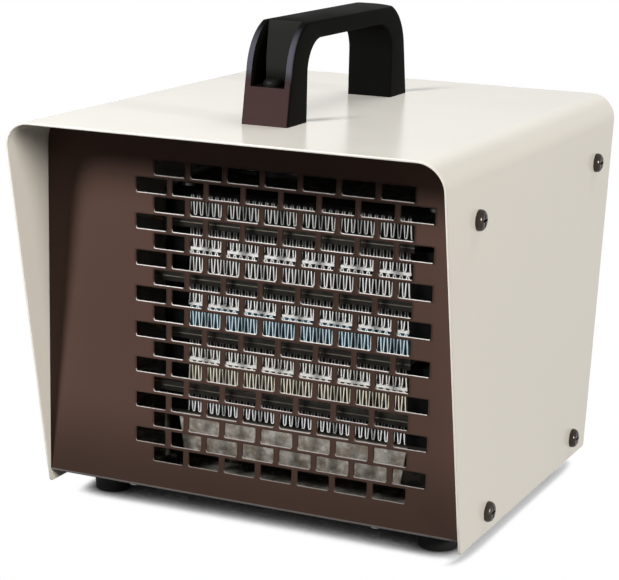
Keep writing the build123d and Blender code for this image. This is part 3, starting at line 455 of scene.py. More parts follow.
def slot_ring(sizes, spread):
    """Rounded rectangle as a loop, one point for each point on the edge of its brick; spread widens it."""
    w, h, r = sizes.slot_width / 2 + spread, sizes.slot_height / 2 + spread, sizes.slot_corner + spread
    a = quarter(CORNER_STEPS)
    corner = np.stack([w - r + r * np.cos(a), h - r + r * np.sin(a)], 1)
    n, m = BRICK_ACROSS - CORNER_STEPS, BRICK_UPRIGHT - CORNER_STEPS
    top = np.stack([line_set(w - r, r - w, n)[1:-1], np.full(n - 1, h)], 1)
    left = np.stack([np.full(m - 1, -w), line_set(h - r, r - h + SILL_TICK, m - 1)[1:]], 1)
    half = np.concatenate([corner, top, corner[::-1] * [-1, 1], left])
    return np.concatenate([half, -half])


def slot_walls(sizes, field, places):
    """All bricks with a slot: rings from the brick's edge over the rounded lip, through the sheet and over
    the inner lip to the brick's edge again.

    At a turn k of a lip of radius r, the ring is the slot's outline widened by r - r sin k, at the depth
    r - r cos k from the lip's own side."""
    sheet, lip = sizes.panel, sizes.slot_lip
    back_lip = sheet - lip
    brick = brick_ring(field.pitch_x / 2, field.pitch_z / 2)
    bands = [(brick, 0.0, 0.0, 0.0)]
    for turn, shine in LIP_SHINE.items():
        k = math.radians(turn)
        bands.append((slot_ring(sizes, lip - lip * math.sin(k)), lip - lip * math.cos(k), shine, -EDGE_SHADE))
    for turn in BACK_LIP:
        k = math.radians(turn)
        outline = slot_ring(sizes, back_lip - back_lip * math.sin(k))
        bands.append((outline, lip + back_lip * math.cos(k), 0.0, -EDGE_SHADE))
    bands.append((brick, sheet, 0.0, 0.0))
    rings = np.concatenate([np.insert(loop, 1, depth, axis=1) for loop, depth, _, _ in bands])
    widest = bands[1][0]
    sill = widest[:, 1] < sizes.slot_corner + lip / 8 - sizes.slot_height / 2
    sill &= widest[:, 0] < sizes.slot_width / 2 - lip
    # Rim of each band: painted highlight on the sill, painted shade round the rest of the slot
    rim = np.concatenate([np.where(sill, shine, painted_shade) for _, _, shine, painted_shade in bands])
    share = field.rise(places[:, 2])[:, None]
    # The painted highlights on the sills fade towards the bottom of the field
    fade = SILL_HIGHLIGHT_FADE + (1 - SILL_HIGHLIGHT_FADE) * np.clip(2 * share, 0, 1)
    starts = np.arange(len(places)) * len(rings)
    faces = grid_faces(len(bands), len(brick), wrap=True) + starts[:, None, None]
    bent = np.repeat(np.r_[False, np.ones(len(bands) - 3, bool), False], len(brick))
    return ((rings + places[:, None]).reshape(-1, 3), faces.reshape(-1, 4), np.tile(bent, len(places)),
            (rim * np.where(rim > 0, fade, shade_share(share))).reshape(-1))


def lower_fold(sizes, xs, foot):
    """Fold and flange under the face, one profile carried across: a quarter circle and a straight on the
    outer side, and back along the inner side."""
    a = quarter(FOLD_STEPS)
    sides = [np.stack([np.append(sizes.fold - r * np.cos(a), sizes.flange),
                       np.append(sizes.fold - r * np.sin(a), sizes.fold - r)])
             for r in (sizes.fold, sizes.fold - sizes.panel)]
    y, z = np.concatenate([sides[0], sides[1][:, ::-1]], 1)
    count = len(y)
    strip = np.stack(np.broadcast_arrays(xs[:, None], y[None], foot + z[None]), -1).reshape(-1, 3)
    strip_faces = grid_faces(len(xs), count)
    k = np.arange(count // 2 - 1)
    cap = np.stack([k, k + 1, count - 2 - k, count - 1 - k], 1)
    faces = np.concatenate([strip_faces, cap[:, ::-1], cap + (len(xs) - 1) * count])
    # Painted highlight along the outer curve of the fold
    worn = np.zeros(count)
    worn[1:4] = FOLD_HIGHLIGHT
    return strip, faces, np.arange(len(faces)) < len(strip_faces), np.tile(worn, len(xs))


def side_flange(sizes, x, low, high):
    """A closed block behind the face, one sheet thick from x on."""
    box = np.array([[i, j, k] for i in (0, 1) for j in (0, 1) for k in (0, 1)], float)
    faces = np.array([[0, 1, 3, 2], [4, 6, 7, 5], [0, 4, 5, 1], [2, 3, 7, 6], [0, 2, 6, 4], [1, 5, 7, 3]])
    sheet = sizes.panel
    start = np.array([x, sheet, low[2] + 2 * sheet + FLANGE_FOOT])
    stop = np.array([x + sheet, sizes.flange, high[2] - sizes.bend + FLANGE_HEAD])
    return start + box * (stop - start), faces, np.zeros(len(faces), bool), np.zeros(len(box))


def panel_surface(sizes, node, inward, keeps_slot):
    """Folded panel with rounded slots as one surface, with blocks for its side flanges.

    The depth behind the face becomes y, forwards or backwards; inward is 1 or -1."""
    low, high = (np.array(v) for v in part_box(node))
    field = SlotField(sizes)
    places = field.places(sizes, keeps_slot)
    xs, zs = field.brick_lines(sizes, low, high)
    made = join_patches([
        slotted_sheet(sizes, field, xs, zs, high, places),
        slot_walls(sizes, field, places),
        lower_fold(sizes, xs, low[2]),
        side_flange(sizes, low[0], low, high),
        side_flange(sizes, high[0] - sizes.panel, low, high),
    ])
    face = low[1] if inward > 0 else high[1]
    made[0][:, 1] = face + inward * made[0][:, 1]
    return made


# Heating fins
def fin_surface(sizes, node):
    """Folded fin as one closed surface: a zigzag with round folds, made a ribbon and drawn backwards.

    Each fold is an arc about a point on the upper or lower side; straight legs run from arc to arc at the
    angle that touches both. The ribbon is the line moved to either side by half the sheet. The rim is 1 on
    the cut edges at the front and rear."""
    low, high = (np.array(v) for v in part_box(node))
    half, bend, step = sizes.fin_sheet / 2, sizes.fin_bend, sizes.fin_pitch / 2
    folds = int(round((high[0] - low[0]) / step)) + 1
    rise = high[2] - low[2] - sizes.fin_sheet
    lean = 0.0
    for _ in range(LEAN_ROUNDS):
        lean = math.atan((step - 2 * bend * math.cos(lean)) / (rise - 2 * bend + 2 * bend * math.sin(lean)))
    arc = np.linspace(lean, math.pi - lean, FIN_ARC_POINTS)
    turn = np.tile(arc, folds)
    fold = np.repeat(np.arange(folds), len(arc))
    crest, near = math.pi / 2, 0.01
    keep = ~(((fold == 0) & (turn < crest - near)) | ((fold == folds - 1) & (turn > crest + near)))
    turn, fold = turn[keep], fold[keep]
    up = np.where(fold % 2, 1.0, -1.0)
    centre_z = np.where(fold % 2, high[2] - half - bend, low[2] + half + bend)
    line = np.stack([low[0] + fold * step - bend * np.cos(turn), centre_z + up * bend * np.sin(turn)], 1)
    side = np.stack([-up * np.cos(turn), np.sin(turn)], 1)
    ring = np.concatenate([line + side * half, (line - side * half)[::-1]])
    points = np.concatenate([np.insert(ring, 1, y, axis=1) for y in (low[1], high[1])])
    i = np.arange(len(line) - 1)
    cap = np.stack([i, len(ring) - 1 - i, len(ring) - 2 - i, i + 1], 1)
    faces = np.concatenate([grid_faces(2, len(ring), wrap=True), cap, cap[:, ::-1] + len(ring)])
    smooth = np.arange(len(faces)) < len(ring)
    return points, faces, smooth, np.where(smooth, 0.0, 1.0)


# Shader node helpers
class Nodes:
    """Adds and joins the nodes of one tree."""

    def __init__(self, tree):
        self.tree = tree

    def add(self, kind, settings=None, **inputs):
        """New node with its settings and inputs; a low line in an input's name stands for a space."""
        node = self.tree.nodes.new(kind)
        for key, value in (settings or {}).items():
            setattr(node, key, value)
        for key, value in inputs.items():
            self.feed(node.inputs[key.replace("_", " ")], value)
        return node

    def feed(self, socket, value):
        if isinstance(value, bpy.types.NodeSocket):
            self.tree.links.new(value, socket)
        else:
            socket.default_value = value

    def axes(self, vector):
        """The parts X, Y and Z of a vector."""
        return self.add("ShaderNodeSeparateXYZ", Vector=vector).outputs

    def math(self, operation, a, b=0.5):
        node = self.add("ShaderNodeMath", {"operation": operation})
        self.feed(node.inputs[0], a)
        self.feed(node.inputs[1], b)
        return node.outputs[0]

    def ramp(self, value, low, high, to_low=0.0, to_high=1.0):
        node = self.add("ShaderNodeMapRange", {"interpolation_type": "SMOOTHSTEP"}, Value=value, From_Min=low,
                        From_Max=high, To_Min=to_low, To_Max=to_high)
        return node.outputs["Result"]

    def blend(self, factor, a, b):
        node = self.add("ShaderNodeMix", {"data_type": "RGBA"}, Factor=factor)
        for key, colour in (("A", a), ("B", b)):
            linked = isinstance(colour, bpy.types.NodeSocket)
            self.feed(node.inputs[key], colour if linked else (*colour, 1.0))
        return node.outputs["Result"]

    def layers(self, value, colours):
        """Even colours in steps; each starts a little below its place."""
        node = self.add("ShaderNodeValToRGB", Fac=value)
        ramp = node.color_ramp
        ramp.interpolation = "CONSTANT"
        ramp.elements.remove(ramp.elements[1])
        ramp.elements[0].color = (*colours[min(colours)], 1.0)
        for place in sorted(colours)[1:]:
            ramp.elements.new(place - LAYER_LEAD).color = (*colours[place], 1.0)
        return node.outputs["Color"]


# Shader groups that more than one finish uses
VECTOR, FLOAT = "NodeSocketVector", "NodeSocketFloat"


def new_group(name, inputs, outputs):
    """Empty shader group with named sockets; returns its nodes, what it is given and what it puts out."""
    tree = bpy.data.node_groups.new(name, "ShaderNodeTree")
    for key, kind, value in inputs:
        socket = tree.interface.new_socket(key, in_out="INPUT", socket_type=kind)
        if value is not None:
            socket.default_value = value
    for key in outputs:
        tree.interface.new_socket(key, in_out="OUTPUT", socket_type=FLOAT)
    n = Nodes(tree)
    return n, n.add("NodeGroupInput").outputs, n.add("NodeGroupOutput").inputs


def make_skin_group():
    """Fine surface unevenness: a height for bump, and a slow tone for colour and gloss."""
    n, given, out = new_group(
        "heater_skin", [("Vector", VECTOR, None), ("Grain", FLOAT, 900.0), ("Drift", FLOAT, 14.0)],
        ["Height", "Tone"])
    fine = n.add("ShaderNodeTexNoise", Vector=given["Vector"], Scale=given["Grain"], Detail=3.0)
    slow = n.add("ShaderNodeTexNoise", Vector=given["Vector"], Scale=given["Drift"], Detail=4.0)
    n.feed(out["Height"], fine.outputs["Fac"])
    n.feed(out["Tone"], n.ramp(slow.outputs["Fac"], 0.3, 0.7))


def make_streak_group():
    """Lines along one direction, as rolling or brushing leaves them."""
    n, given, out = new_group(
        "heater_streaks", [("Vector", VECTOR, None), ("Stretch", VECTOR, (1, 1, 1))], ["Tone"])
    scaled = n.add("ShaderNodeVectorMath", {"operation": "MULTIPLY"})
    n.feed(scaled.inputs[0], given["Vector"])
    n.feed(scaled.inputs[1], given["Stretch"])
    lines = n.add("ShaderNodeTexNoise", Vector=scaled.outputs[0], Scale=1.0, Detail=4.0, Roughness=0.6)
    n.feed(out["Tone"], n.ramp(lines.outputs["Fac"], 0.3, 0.7))


def make_spangle_group():
    """Zinc crystals: cells of even tone with soft clouds of stain over them."""
    n, given, out = new_group(
        "heater_spangle", [("Vector", VECTOR, None), ("Size", FLOAT, 420.0)], ["Tone", "Cloud"])
    warp = n.add("ShaderNodeTexNoise", Vector=given["Vector"], Scale=420.0, Detail=3.0)
    bent = n.add("ShaderNodeMix", {"data_type": "VECTOR"}, Factor=0.004, A=given["Vector"],
                 B=warp.outputs["Color"]).outputs["Result"]
    cells = n.add("ShaderNodeTexVoronoi", {"feature": "F1"}, Vector=bent, Scale=given["Size"])
    cell = n.add("ShaderNodeSeparateColor", Color=cells.outputs["Color"])
    cloud = n.add("ShaderNodeTexNoise", Vector=given["Vector"], Scale=130.0, Detail=6.0, Roughness=0.7)
    n.feed(out["Tone"], cell.outputs["Red"])
    n.feed(out["Cloud"], n.ramp(cloud.outputs["Fac"], 0.35, 0.65))


def make_highlight_group():
    """Painted highlights: the piece's own rim attribute, broken up by fine noise."""
    n, given, out = new_group("heater_rub", [("Vector", VECTOR, None), ("Rim", FLOAT, 0.0)], ["Mask"])
    specks = n.add("ShaderNodeTexNoise", Vector=given["Vector"], Scale=700.0, Detail=4.0)
    n.feed(out["Mask"], n.math("MULTIPLY", given["Rim"], n.ramp(specks.outputs["Fac"], 0.2, 0.5, 0.55)))


GROUPS = (make_skin_group, make_streak_group, make_spangle_group, make_highlight_group)


def use_group(n, name, **inputs):
    return n.add("ShaderNodeGroup", {"node_tree": bpy.data.node_groups[name]}, **inputs).outputs


# Finishes
def start_material(name, roughness, metallic=0.0, specular=0.5):
    """New material with constants set on the shader; returns nodes, shader inputs and coordinates."""
    mat = bpy.data.materials.new(FINISH + name)
    mat.use_nodes = True
    n = Nodes(mat.node_tree)
    shader = mat.node_tree.nodes["Principled BSDF"].inputs
    for key, value in (("Roughness", roughness), ("Metallic", metallic), ("Specular IOR Level", specular)):
        shader[key].default_value = value
    return n, shader, n.add("ShaderNodeTexCoord").outputs["Object"]


def bump(n, shader, height, strength, distance=GRAIN_DEPTH):
    node = n.add("ShaderNodeBump", Strength=strength, Distance=distance, Height=height)
    n.feed(shader["Normal"], node.outputs["Normal"])


def rim_of(n):
    """The piece's own rim attribute."""
    return n.add("ShaderNodeAttribute", {"attribute_name": "rim"}).outputs["Fac"]


def tint(colour, factor):
    return tuple(min(c * factor, 1.0) for c in colour)


def plain_finish(name, colour, roughness, spread=0.08, metallic=0.0, specular=0.5, grain=900.0, strength=0.1,
                 shade=0.88):
    """Painted or moulded finish: slow tone in colour and gloss, fine grain in the normal."""
    n, shader, where = start_material(name, roughness, metallic, specular)
    skin = use_group(n, "heater_skin", Vector=where, Grain=grain)
    n.feed(shader["Base Color"], n.blend(skin["Tone"], tint(colour, shade), colour))
    n.feed(shader["Roughness"], n.ramp(skin["Tone"], 0, 1, roughness - spread, roughness + spread))
    bump(n, shader, skin["Height"], strength)


def metal_finish(name, colour, roughness, stretch, shade=0.7):
    """Rolled, drawn or ground metal: streaks along the working direction."""
    n, shader, where = start_material(name, roughness, 1.0)
    lines = use_group(n, "heater_streaks", Vector=where, Stretch=stretch)
    skin = use_group(n, "heater_skin", Vector=where, Grain=1500.0)
    worn = n.blend(lines["Tone"], tint(colour, shade), colour)
    n.feed(shader["Base Color"], n.blend(skin["Tone"], worn, tint(colour, 0.92)))
    n.feed(shader["Roughness"], n.ramp(lines["Tone"], 0, 1, roughness + 0.12, roughness - 0.06))
    bump(n, shader, lines["Tone"], 0.08, STREAK_DEPTH)


def enamel_panel(name, colour):
    """Satin enamel: painted highlights on the slot sills and the fold, painted shade on the webs, round the
    slots and towards the foot.
    """
    satin, highlight_roughness = 0.42, 0.3
    n, shader, where = start_material(name, satin, 0.0, 0.04)
    skin = use_group(n, "heater_skin", Vector=where, Grain=700.0)
    rim = rim_of(n)
    highlight_mask = use_group(n, "heater_rub", Vector=where, Rim=rim)
    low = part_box("front_panel")[0].z
    # Painted shade: the enamel darkens towards the foot
    foot = n.ramp(n.axes(where)["Z"], low, low + FOOT_SHADE, 0.5, 0.0)
    paint = n.blend(skin["Tone"], tint(colour, 0.92), colour)
    paint = n.blend(foot, paint, tint(colour, 0.2))
    # Painted shade where the rim is below zero: on the webs and round the slots
    paint = n.blend(n.math("MULTIPLY", rim, -1.0), paint, tint(colour, 0.15))
    # Painted highlights where the rim is above zero: on the sills and along the fold
    n.feed(shader["Base Color"], n.blend(highlight_mask["Mask"], paint, HIGHLIGHT_PALE))
    n.feed(shader["Roughness"], n.ramp(highlight_mask["Mask"], 0, 1, satin, highlight_roughness))
    bump(n, shader, skin["Height"], 0.06)


def spangle_finish(name, colour, stain, shade_front=None, top=0.0):
    """Galvanised sheet with crystals and clouds; painted shade behind a front and along its top, if given."""
    n, shader, where = start_material(name, 0.45, 0.6)
    zinc = use_group(n, "heater_spangle", Vector=where)
    crystal = n.blend(zinc["Tone"], tint(colour, 0.7), tint(colour, 1.15))
    paint = n.blend(zinc["Cloud"], crystal, stain)
    if shade_front is not None:
        place = n.axes(where)
        behind = n.ramp(place["Y"], shade_front + SHADE_START, shade_front + SHADE_FULL)
        above = n.ramp(place["Z"], top - 2 * SHADE_BAND, top - SHADE_BAND)
        # Painted shade behind the front and along the top
        paint = n.blend(n.math("MAXIMUM", behind, above), paint, tint(stain, 0.08))
    n.feed(shader["Base Color"], paint)
    n.feed(shader["Roughness"], n.ramp(zinc["Tone"], 0, 1, 0.35, 0.6))
    bump(n, shader, zinc["Cloud"], 0.08)


def tinted_fin(name, colour):
    """Aluminium strip: bright cut edges, painted shade on the sheet's sides inside the folds and on the top
    folds, with faint heat colours by height.
    """
    n, shader, where = start_material(name, 0.5, 0.0, 0.3)
    lines = use_group(n, "heater_streaks", Vector=where, Stretch=(700.0, 40.0, 60.0))
    low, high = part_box("heater_fin_8")[0].z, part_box("heater_fin_1")[1].z
    height = n.axes(where)["Z"]
    share = n.math("DIVIDE", n.math("SUBTRACT", height, low), high - low)
    starts = {k: (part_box("heater_fin_%d" % k)[0].z - low) / (high - low) for k in FIN_TINTS}
    tints = {k: tuple(c * s for c, s in zip(colour, FIN_TINTS[k])) for k in starts}
    layer = n.layers(share, {p: tints[k] for k, p in starts.items()})
    # Painted shade on the fin walls, tinted in some layers
    shaded_walls = n.layers(share, {p: WALL_SHADE_TINTS.get(k, WALL_SHADE) for k, p in starts.items()})
    bright = n.blend(n.math("MULTIPLY", lines["Tone"], 0.3), layer, colour)
    # Painted shade on the top folds of the upper fin
    below_fold = n.ramp(height, high - FOLD_SHADE, high - 0.6 * FOLD_SHADE, 1.0, 0.0)
    unshaded_edge = n.math("MULTIPLY", rim_of(n), below_fold)
    n.feed(shader["Base Color"], n.blend(unshaded_edge, shaded_walls, bright))
    n.feed(shader["Roughness"], n.ramp(lines["Tone"], 0, 1, 0.6, 0.4))
    bump(n, shader, lines["Tone"], 0.05, STREAK_DEPTH)


def stained_bar(name, colour):
    """Dull pressed tube, darkened in patches by heat, with a painted highlight line along the middle of its
    side.
    """
    n, shader, where = start_material(name, 0.55, 0.0, 0.15)
    low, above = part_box("ptc_bar_4")[0].z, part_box("ptc_bar_3")[0].z
    highlight_height = middle("ptc_bar_4").z - low
    height = n.math("SUBTRACT", n.axes(where)["Z"], low)
    away = n.math("ABSOLUTE", n.math("SUBTRACT", n.math("FLOORED_MODULO", height, above - low), highlight_height))
    burnt = n.add("ShaderNodeTexNoise", Vector=where, Scale=120.0, Detail=6.0, Roughness=0.7)
    patches = burnt.outputs["Fac"]
    lines = use_group(n, "heater_streaks", Vector=where, Stretch=(20.0, 900.0, 1400.0))
    spots = n.ramp(patches, 0.38, 0.62)
    base = n.blend(lines["Tone"], tint(colour, 0.6), tint(colour, 1.3))
    body = n.blend(spots, base, tint(colour, 0.4))
    # Painted highlight: a pale line along the middle of the side, standing in for a lit edge
    on_highlight = n.ramp(away, BAR_HIGHLIGHT_HALF, 1.6 * BAR_HIGHLIGHT_HALF, 1.0, 0.0)
    edge = n.math("MULTIPLY", on_highlight, n.ramp(patches, 0.3, 0.6, 0.3, 1.0))
    n.feed(shader["Base Color"], n.blend(edge, body, tint(colour, 8.0)))
    n.feed(shader["Roughness"], n.ramp(spots, 0, 1, 0.45, 0.65))
    bump(n, shader, patches, 0.15, PATCH_DEPTH)


def handle_finish(name, colour):
    """Black plastic: painted reflections where the ends curve up, painted sheen where they face outwards
    round the pockets.
    """
    n, shader, where = start_material(name, 0.5, 0.0, 0.01)
    skin = use_group(n, "heater_skin", Vector=where, Grain=1600.0)
    centre = middle("carry_handle")
    low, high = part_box("carry_handle")
    pocket_floor = low.z + POCKET_RISE
    pocket_half = (high.x - low.x) / 2 - POCKET_WALL
    place = n.axes(where)
    facing = n.axes(n.add("ShaderNodeTexCoord").outputs["Normal"])["Y"]
    outwards = n.math("MULTIPLY", facing, n.math("SIGN", n.math("SUBTRACT", place["Y"], centre.y)))
    from_middle = n.math("ABSOLUTE", n.math("SUBTRACT", place["X"], centre.x))
    rims = n.math("GREATER_THAN", from_middle, pocket_half)
    slope = (pocket_floor, pocket_floor + POCKET_RISE / 2)
    paint = n.blend(skin["Tone"], tint(colour, 0.8), colour)
    # Painted reflections on the rims and the pocket slope where the ends curve up
    above = n.math("MULTIPLY", n.ramp(outwards, *REFLECTION_FACING), n.ramp(place["Z"], *slope))
    paint = n.blend(above, paint, n.blend(rims, HANDLE_SLOPE_REFLECTION, HANDLE_RIM_REFLECTION))
    beside = n.math("MAXIMUM", rims, n.math("LESS_THAN", place["Z"], pocket_floor))
    # Painted sheen on the outward faces beside and below the pockets
    sheen_mask = n.math("MULTIPLY", n.ramp(outwards, *SHEEN_FACING), n.ramp(place["Z"], *slope, 1.0, 0.0))
    n.feed(shader["Base Color"], n.blend(n.math("MULTIPLY", sheen_mask, beside), paint, HANDLE_SHEEN))
    n.feed(shader["Roughness"], n.ramp(skin["Tone"], 0, 1, 0.45, 0.55))
    bump(n, shader, skin["Height"], 0.12)


def sleeve_finish(name, colour):
    """Braided sleeve: fine slanting waves, broken up by grain."""
    n, shader, where = start_material(name, 0.75)
    waves = n.add("ShaderNodeTexWave", {"bands_direction": "DIAGONAL"}, Vector=where, Scale=420.0,
                  Distortion=1.0)
    skin = use_group(n, "heater_skin", Vector=where, Grain=1600.0)
    weave = n.math("MULTIPLY", waves.outputs["Fac"], skin["Height"])
    n.feed(shader["Base Color"], n.blend(weave, tint(colour, 0.6), colour))
    n.feed(shader["Roughness"], n.ramp(weave, 0, 1, 0.85, 0.65))
    bump(n, shader, weave, 0.4)


def winding_finish(name, colour):
    """Enamelled wire: close turns round the core, seen as fine ridges."""
    n, shader, where = start_material(name, 0.3, 0.9)
    turns = n.add("ShaderNodeTexWave", {"bands_direction": "X"}, Vector=where, Scale=300.0, Distortion=0.6,
                  Detail_Scale=3.0).outputs["Fac"]
    n.feed(shader["Base Color"], n.blend(turns, tint(colour, 0.35), colour))
    n.feed(shader["Roughness"], n.ramp(turns, 0, 1, 0.5, 0.25))
    bump(n, shader, turns, 0.6, WIRE_DEPTH)


def casing_finishes(colours):
    """Casing, panels, handle, feet and fasteners."""
    plain_finish("shell_paint", tuple(colours.shell), 0.2, 0.015, specular=0.25, grain=500.0, strength=0.015,
                 shade=0.985)
    enamel_panel("panel_paint", tuple(colours.panel))
    handle_finish("handle_plastic", tuple(colours.handle))
    plain_finish("foot_rubber", (0.012, 0.012, 0.012), 0.75, specular=0.25, grain=600.0, strength=0.3)
    plain_finish("screw_black", (0.062, 0.050, 0.042), 0.26, metallic=0.8, grain=1400.0)
    # A darker copy of the screw finish: painted shade for the screws in the handle's pockets
    plain_finish("screw_dull", (0.005, 0.005, 0.0045), 0.6, specular=0.1, grain=1400.0, strength=0.12)
    metal_finish("plated_steel", (0.34, 0.33, 0.30), 0.4, (300.0, 300.0, 300.0))


def element_finishes(colours):
    """Heating element, its frames and the galvanised sheets round it."""
    tinted_fin("fin_aluminium", tuple(colours.fin))
    stained_bar("bar_aluminium", tuple(colours.bar))
    plain_finish("strip_aluminium", (0.96, 0.95, 0.92), 0.4, 0.06, grain=600.0, strength=0.08, shade=0.95)
    plain_finish("stone_ceramic", (0.30, 0.27, 0.24), 0.8, grain=500.0, strength=0.3)
    metal_finish("terminal_brass", (0.75, 0.60, 0.32), 0.3, (60.0, 900.0, 900.0))
    plain_finish("frame_plastic", (0.005, 0.005, 0.005), 0.6, specular=0.03, strength=0.25)
    low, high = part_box("element_cradle")
    spangle_finish("galvanised", tuple(colours.zinc), ZINC_STAIN)
    spangle_finish("galvanised_sooted", tuple(colours.zinc), ZINC_STAIN, low.y, high.z)
    # A paler copy of the zinc: painted light on the base pan
    spangle_finish("galvanised_pale", tint(colours.zinc, 1.75), (0.30, 0.27, 0.22))
    # A darker copy of the zinc: painted shade on the air duct
    spangle_finish("galvanised_dull", tint(colours.zinc, 0.2), (0.03, 0.025, 0.02))


def motor_finishes():
    """Fan and motor."""
    metal_finish("fan_aluminium", (0.70, 0.70, 0.69), 0.35, (500.0, 60.0, 60.0))
    metal_finish("laminations", (0.20, 0.20, 0.21), 0.45, (40.0, 2400.0, 40.0), shade=0.4)
    winding_finish("winding", (0.60, 0.25, 0.10))
    plain_finish("casting", (0.55, 0.55, 0.55), 0.5, metallic=0.9, grain=450.0, strength=0.3)
    metal_finish("bearing_bronze", (0.56, 0.40, 0.22), 0.5, (400.0, 400.0, 400.0))
    metal_finish("shaft_steel", (0.66, 0.66, 0.66), 0.2, (300.0, 2000.0, 300.0))


def control_finishes():
    """Switches, knobs, gland, terminal block and leads."""
    plain_finish("switch_plastic", (0.06, 0.06, 0.06), 0.5, grain=700.0, strength=0.15)
    plain_finish("knob_plastic", (0.018, 0.018, 0.018), 0.4, specular=0.4, strength=0.15)
    plain_finish("gland_plastic", (0.016, 0.016, 0.016), 0.5, specular=0.4, grain=700.0, strength=0.2)
    plain_finish("block_plastic", (0.78, 0.77, 0.72), 0.45, grain=700.0)
    sleeve_finish("lead_sleeve", (0.72, 0.70, 0.64))


# Floor, lights and camera
def white_for_sight(n, gloss):
    """Mask that is one for camera and transmitted rays, and the given share of one for glossy rays."""
    path = n.add("ShaderNodeLightPath").outputs
    shine = n.math("MULTIPLY", path["Is Glossy Ray"], gloss)
    seen = n.math("MAXIMUM", path["Is Camera Ray"], shine)
    return n.math("MAXIMUM", seen, path["Is Transmission Ray"])


def make_floor(gloss):
    """White paper with a dark line of contact, and a wider soft shadow right of the heater."""
    mesh = bpy.data.meshes.new("floor")
    corners = [(x * FLOOR_SIDE, y * FLOOR_SIDE, 0) for x, y in ((-1, -1), (1, -1), (1, 1), (-1, 1))]
    mesh.from_pydata(corners, [], [(0, 1, 2, 3)])
    floor = bpy.data.objects.new("floor", mesh)
    bpy.context.scene.collection.objects.link(floor)
    mat = bpy.data.materials.new("floor_paper")
    mat.use_nodes = True
    n = Nodes(mat.node_tree)
    mat.node_tree.nodes.remove(mat.node_tree.nodes["Principled BSDF"])
    out = mat.node_tree.nodes["Material Output"]
    sky = n.add("ShaderNodeAmbientOcclusion", {"samples": SKY_SAMPLES}, Distance=SKY_REACH).outputs["AO"]
    contact = n.math("POWER", n.ramp(sky, *CONTACT_SHADOW), 2.0)
    place = n.axes(n.add("ShaderNodeTexCoord").outputs["Object"])
    corner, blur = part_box("front_panel")[0].y, RIGHT_SHADOW_BLUR
    before = n.ramp(place["Y"], corner - blur, corner + blur, 1.0, 0.0)
    elsewhere = n.math("MAXIMUM", n.ramp(place["X"], *RIGHT_SHADOW_X, 1.0, 0.0), before)
    level = n.math("MULTIPLY", contact, n.math("MAXIMUM", n.ramp(sky, *RIGHT_SHADOW), elsewhere))
    dim = n.add("ShaderNodeBsdfDiffuse", Color=(0.08, 0.08, 0.08, 1.0))
    glow = n.add("ShaderNodeEmission", Color=(1, 1, 1, 1), Strength=level)
    mixed = n.add("ShaderNodeMixShader", Fac=white_for_sight(n, gloss))
    n.feed(mixed.inputs[1], dim.outputs[0])
    n.feed(mixed.inputs[2], glow.outputs[0])
    n.feed(out.inputs["Surface"], mixed.outputs[0])
    mesh.materials.append(mat)


def make_world(scene, strength, gloss):
    world = bpy.data.worlds.new("studio")
    world.use_nodes = True
    n = Nodes(world.node_tree)
    back = world.node_tree.nodes["Background"]
    back.inputs["Color"].default_value = (1, 1, 1, 1)
    level = n.add("ShaderNodeMapRange", Value=white_for_sight(n, gloss), To_Min=strength, To_Max=1.0)
    n.feed(back.inputs["Strength"], level.outputs["Result"])
    scene.world = world


def soft_light(name, power, size, distance, towards, colour=(1, 1, 1)):
    lamp = bpy.data.lights.new(name, "AREA")
    lamp.energy = power
    lamp.color = colour
    lamp.shape = "ELLIPSE"
    lamp.size, lamp.size_y = size
    obj = bpy.data.objects.new(name, lamp)
    direction = Vector(towards).normalized()
    obj.location = Vector(LAMP_AIM) + direction * distance
    obj.rotation_euler = direction.to_track_quat("Z", "Y").to_euler()
    bpy.context.scene.collection.objects.link(obj)
    return obj


def no_shadow(lamp, piece):
    """Keep one piece from throwing a shadow of one lamp."""
    spared = bpy.data.collections.new(lamp.name + "_spared")
    spared.objects.link(piece)
    spared.collection_objects[0].light_linking.link_state = "EXCLUDE"
    lamp.light_linking.blocker_collection = spared


def make_camera(scene, lens):
    data = bpy.data.cameras.new("camera")
    data.lens = lens
    data.sensor_width = SENSOR_MM
    data.clip_start, data.clip_end = CLIP
    camera = bpy.data.objects.new("camera", data)
    turn = zip(CAMERA_RIGHT, CAMERA_UP, CAMERA_BACK)
    camera.matrix_world = Matrix([(*row, p) for row, p in zip(turn, CAMERA_PLACE)] + [(0, 0, 0, 1)])
    scene.collection.objects.link(camera)
    scene.camera = camera


# Operators
class HEATER_OT_finishes(bpy.types.Operator):
    """Make every finish and give it to the nodes that carry its slot"""

    bl_idname = "heater.finishes"
    bl_label = "Finishes"

    def execute(self, context):
        colours = context.scene.heater_colours
        for make_group in GROUPS:
            make_group()
        casing_finishes(colours)
        element_finishes(colours)
        motor_finishes()
        control_finishes()
        for node, slot in SLOT_OF.items():
            mesh = frame["nodes"][node].data
            mesh.materials.clear()
            mesh.materials.append(bpy.data.materials[FINISH + OWN_FINISH.get(node, slot)])
        return {"FINISHED"}


class HEATER_OT_casing(bpy.types.Operator):
    """Build the folded casing with rounded cut edges"""

    bl_idname = "heater.casing"
    bl_label = "Casing"

    def execute(self, context):
        points, faces = casing_surface(context.scene.heater_sizes)
        mesh_piece("casing", points, faces, np.ones(len(faces), bool), "heater", "outer_shell")
        return {"FINISHED"}


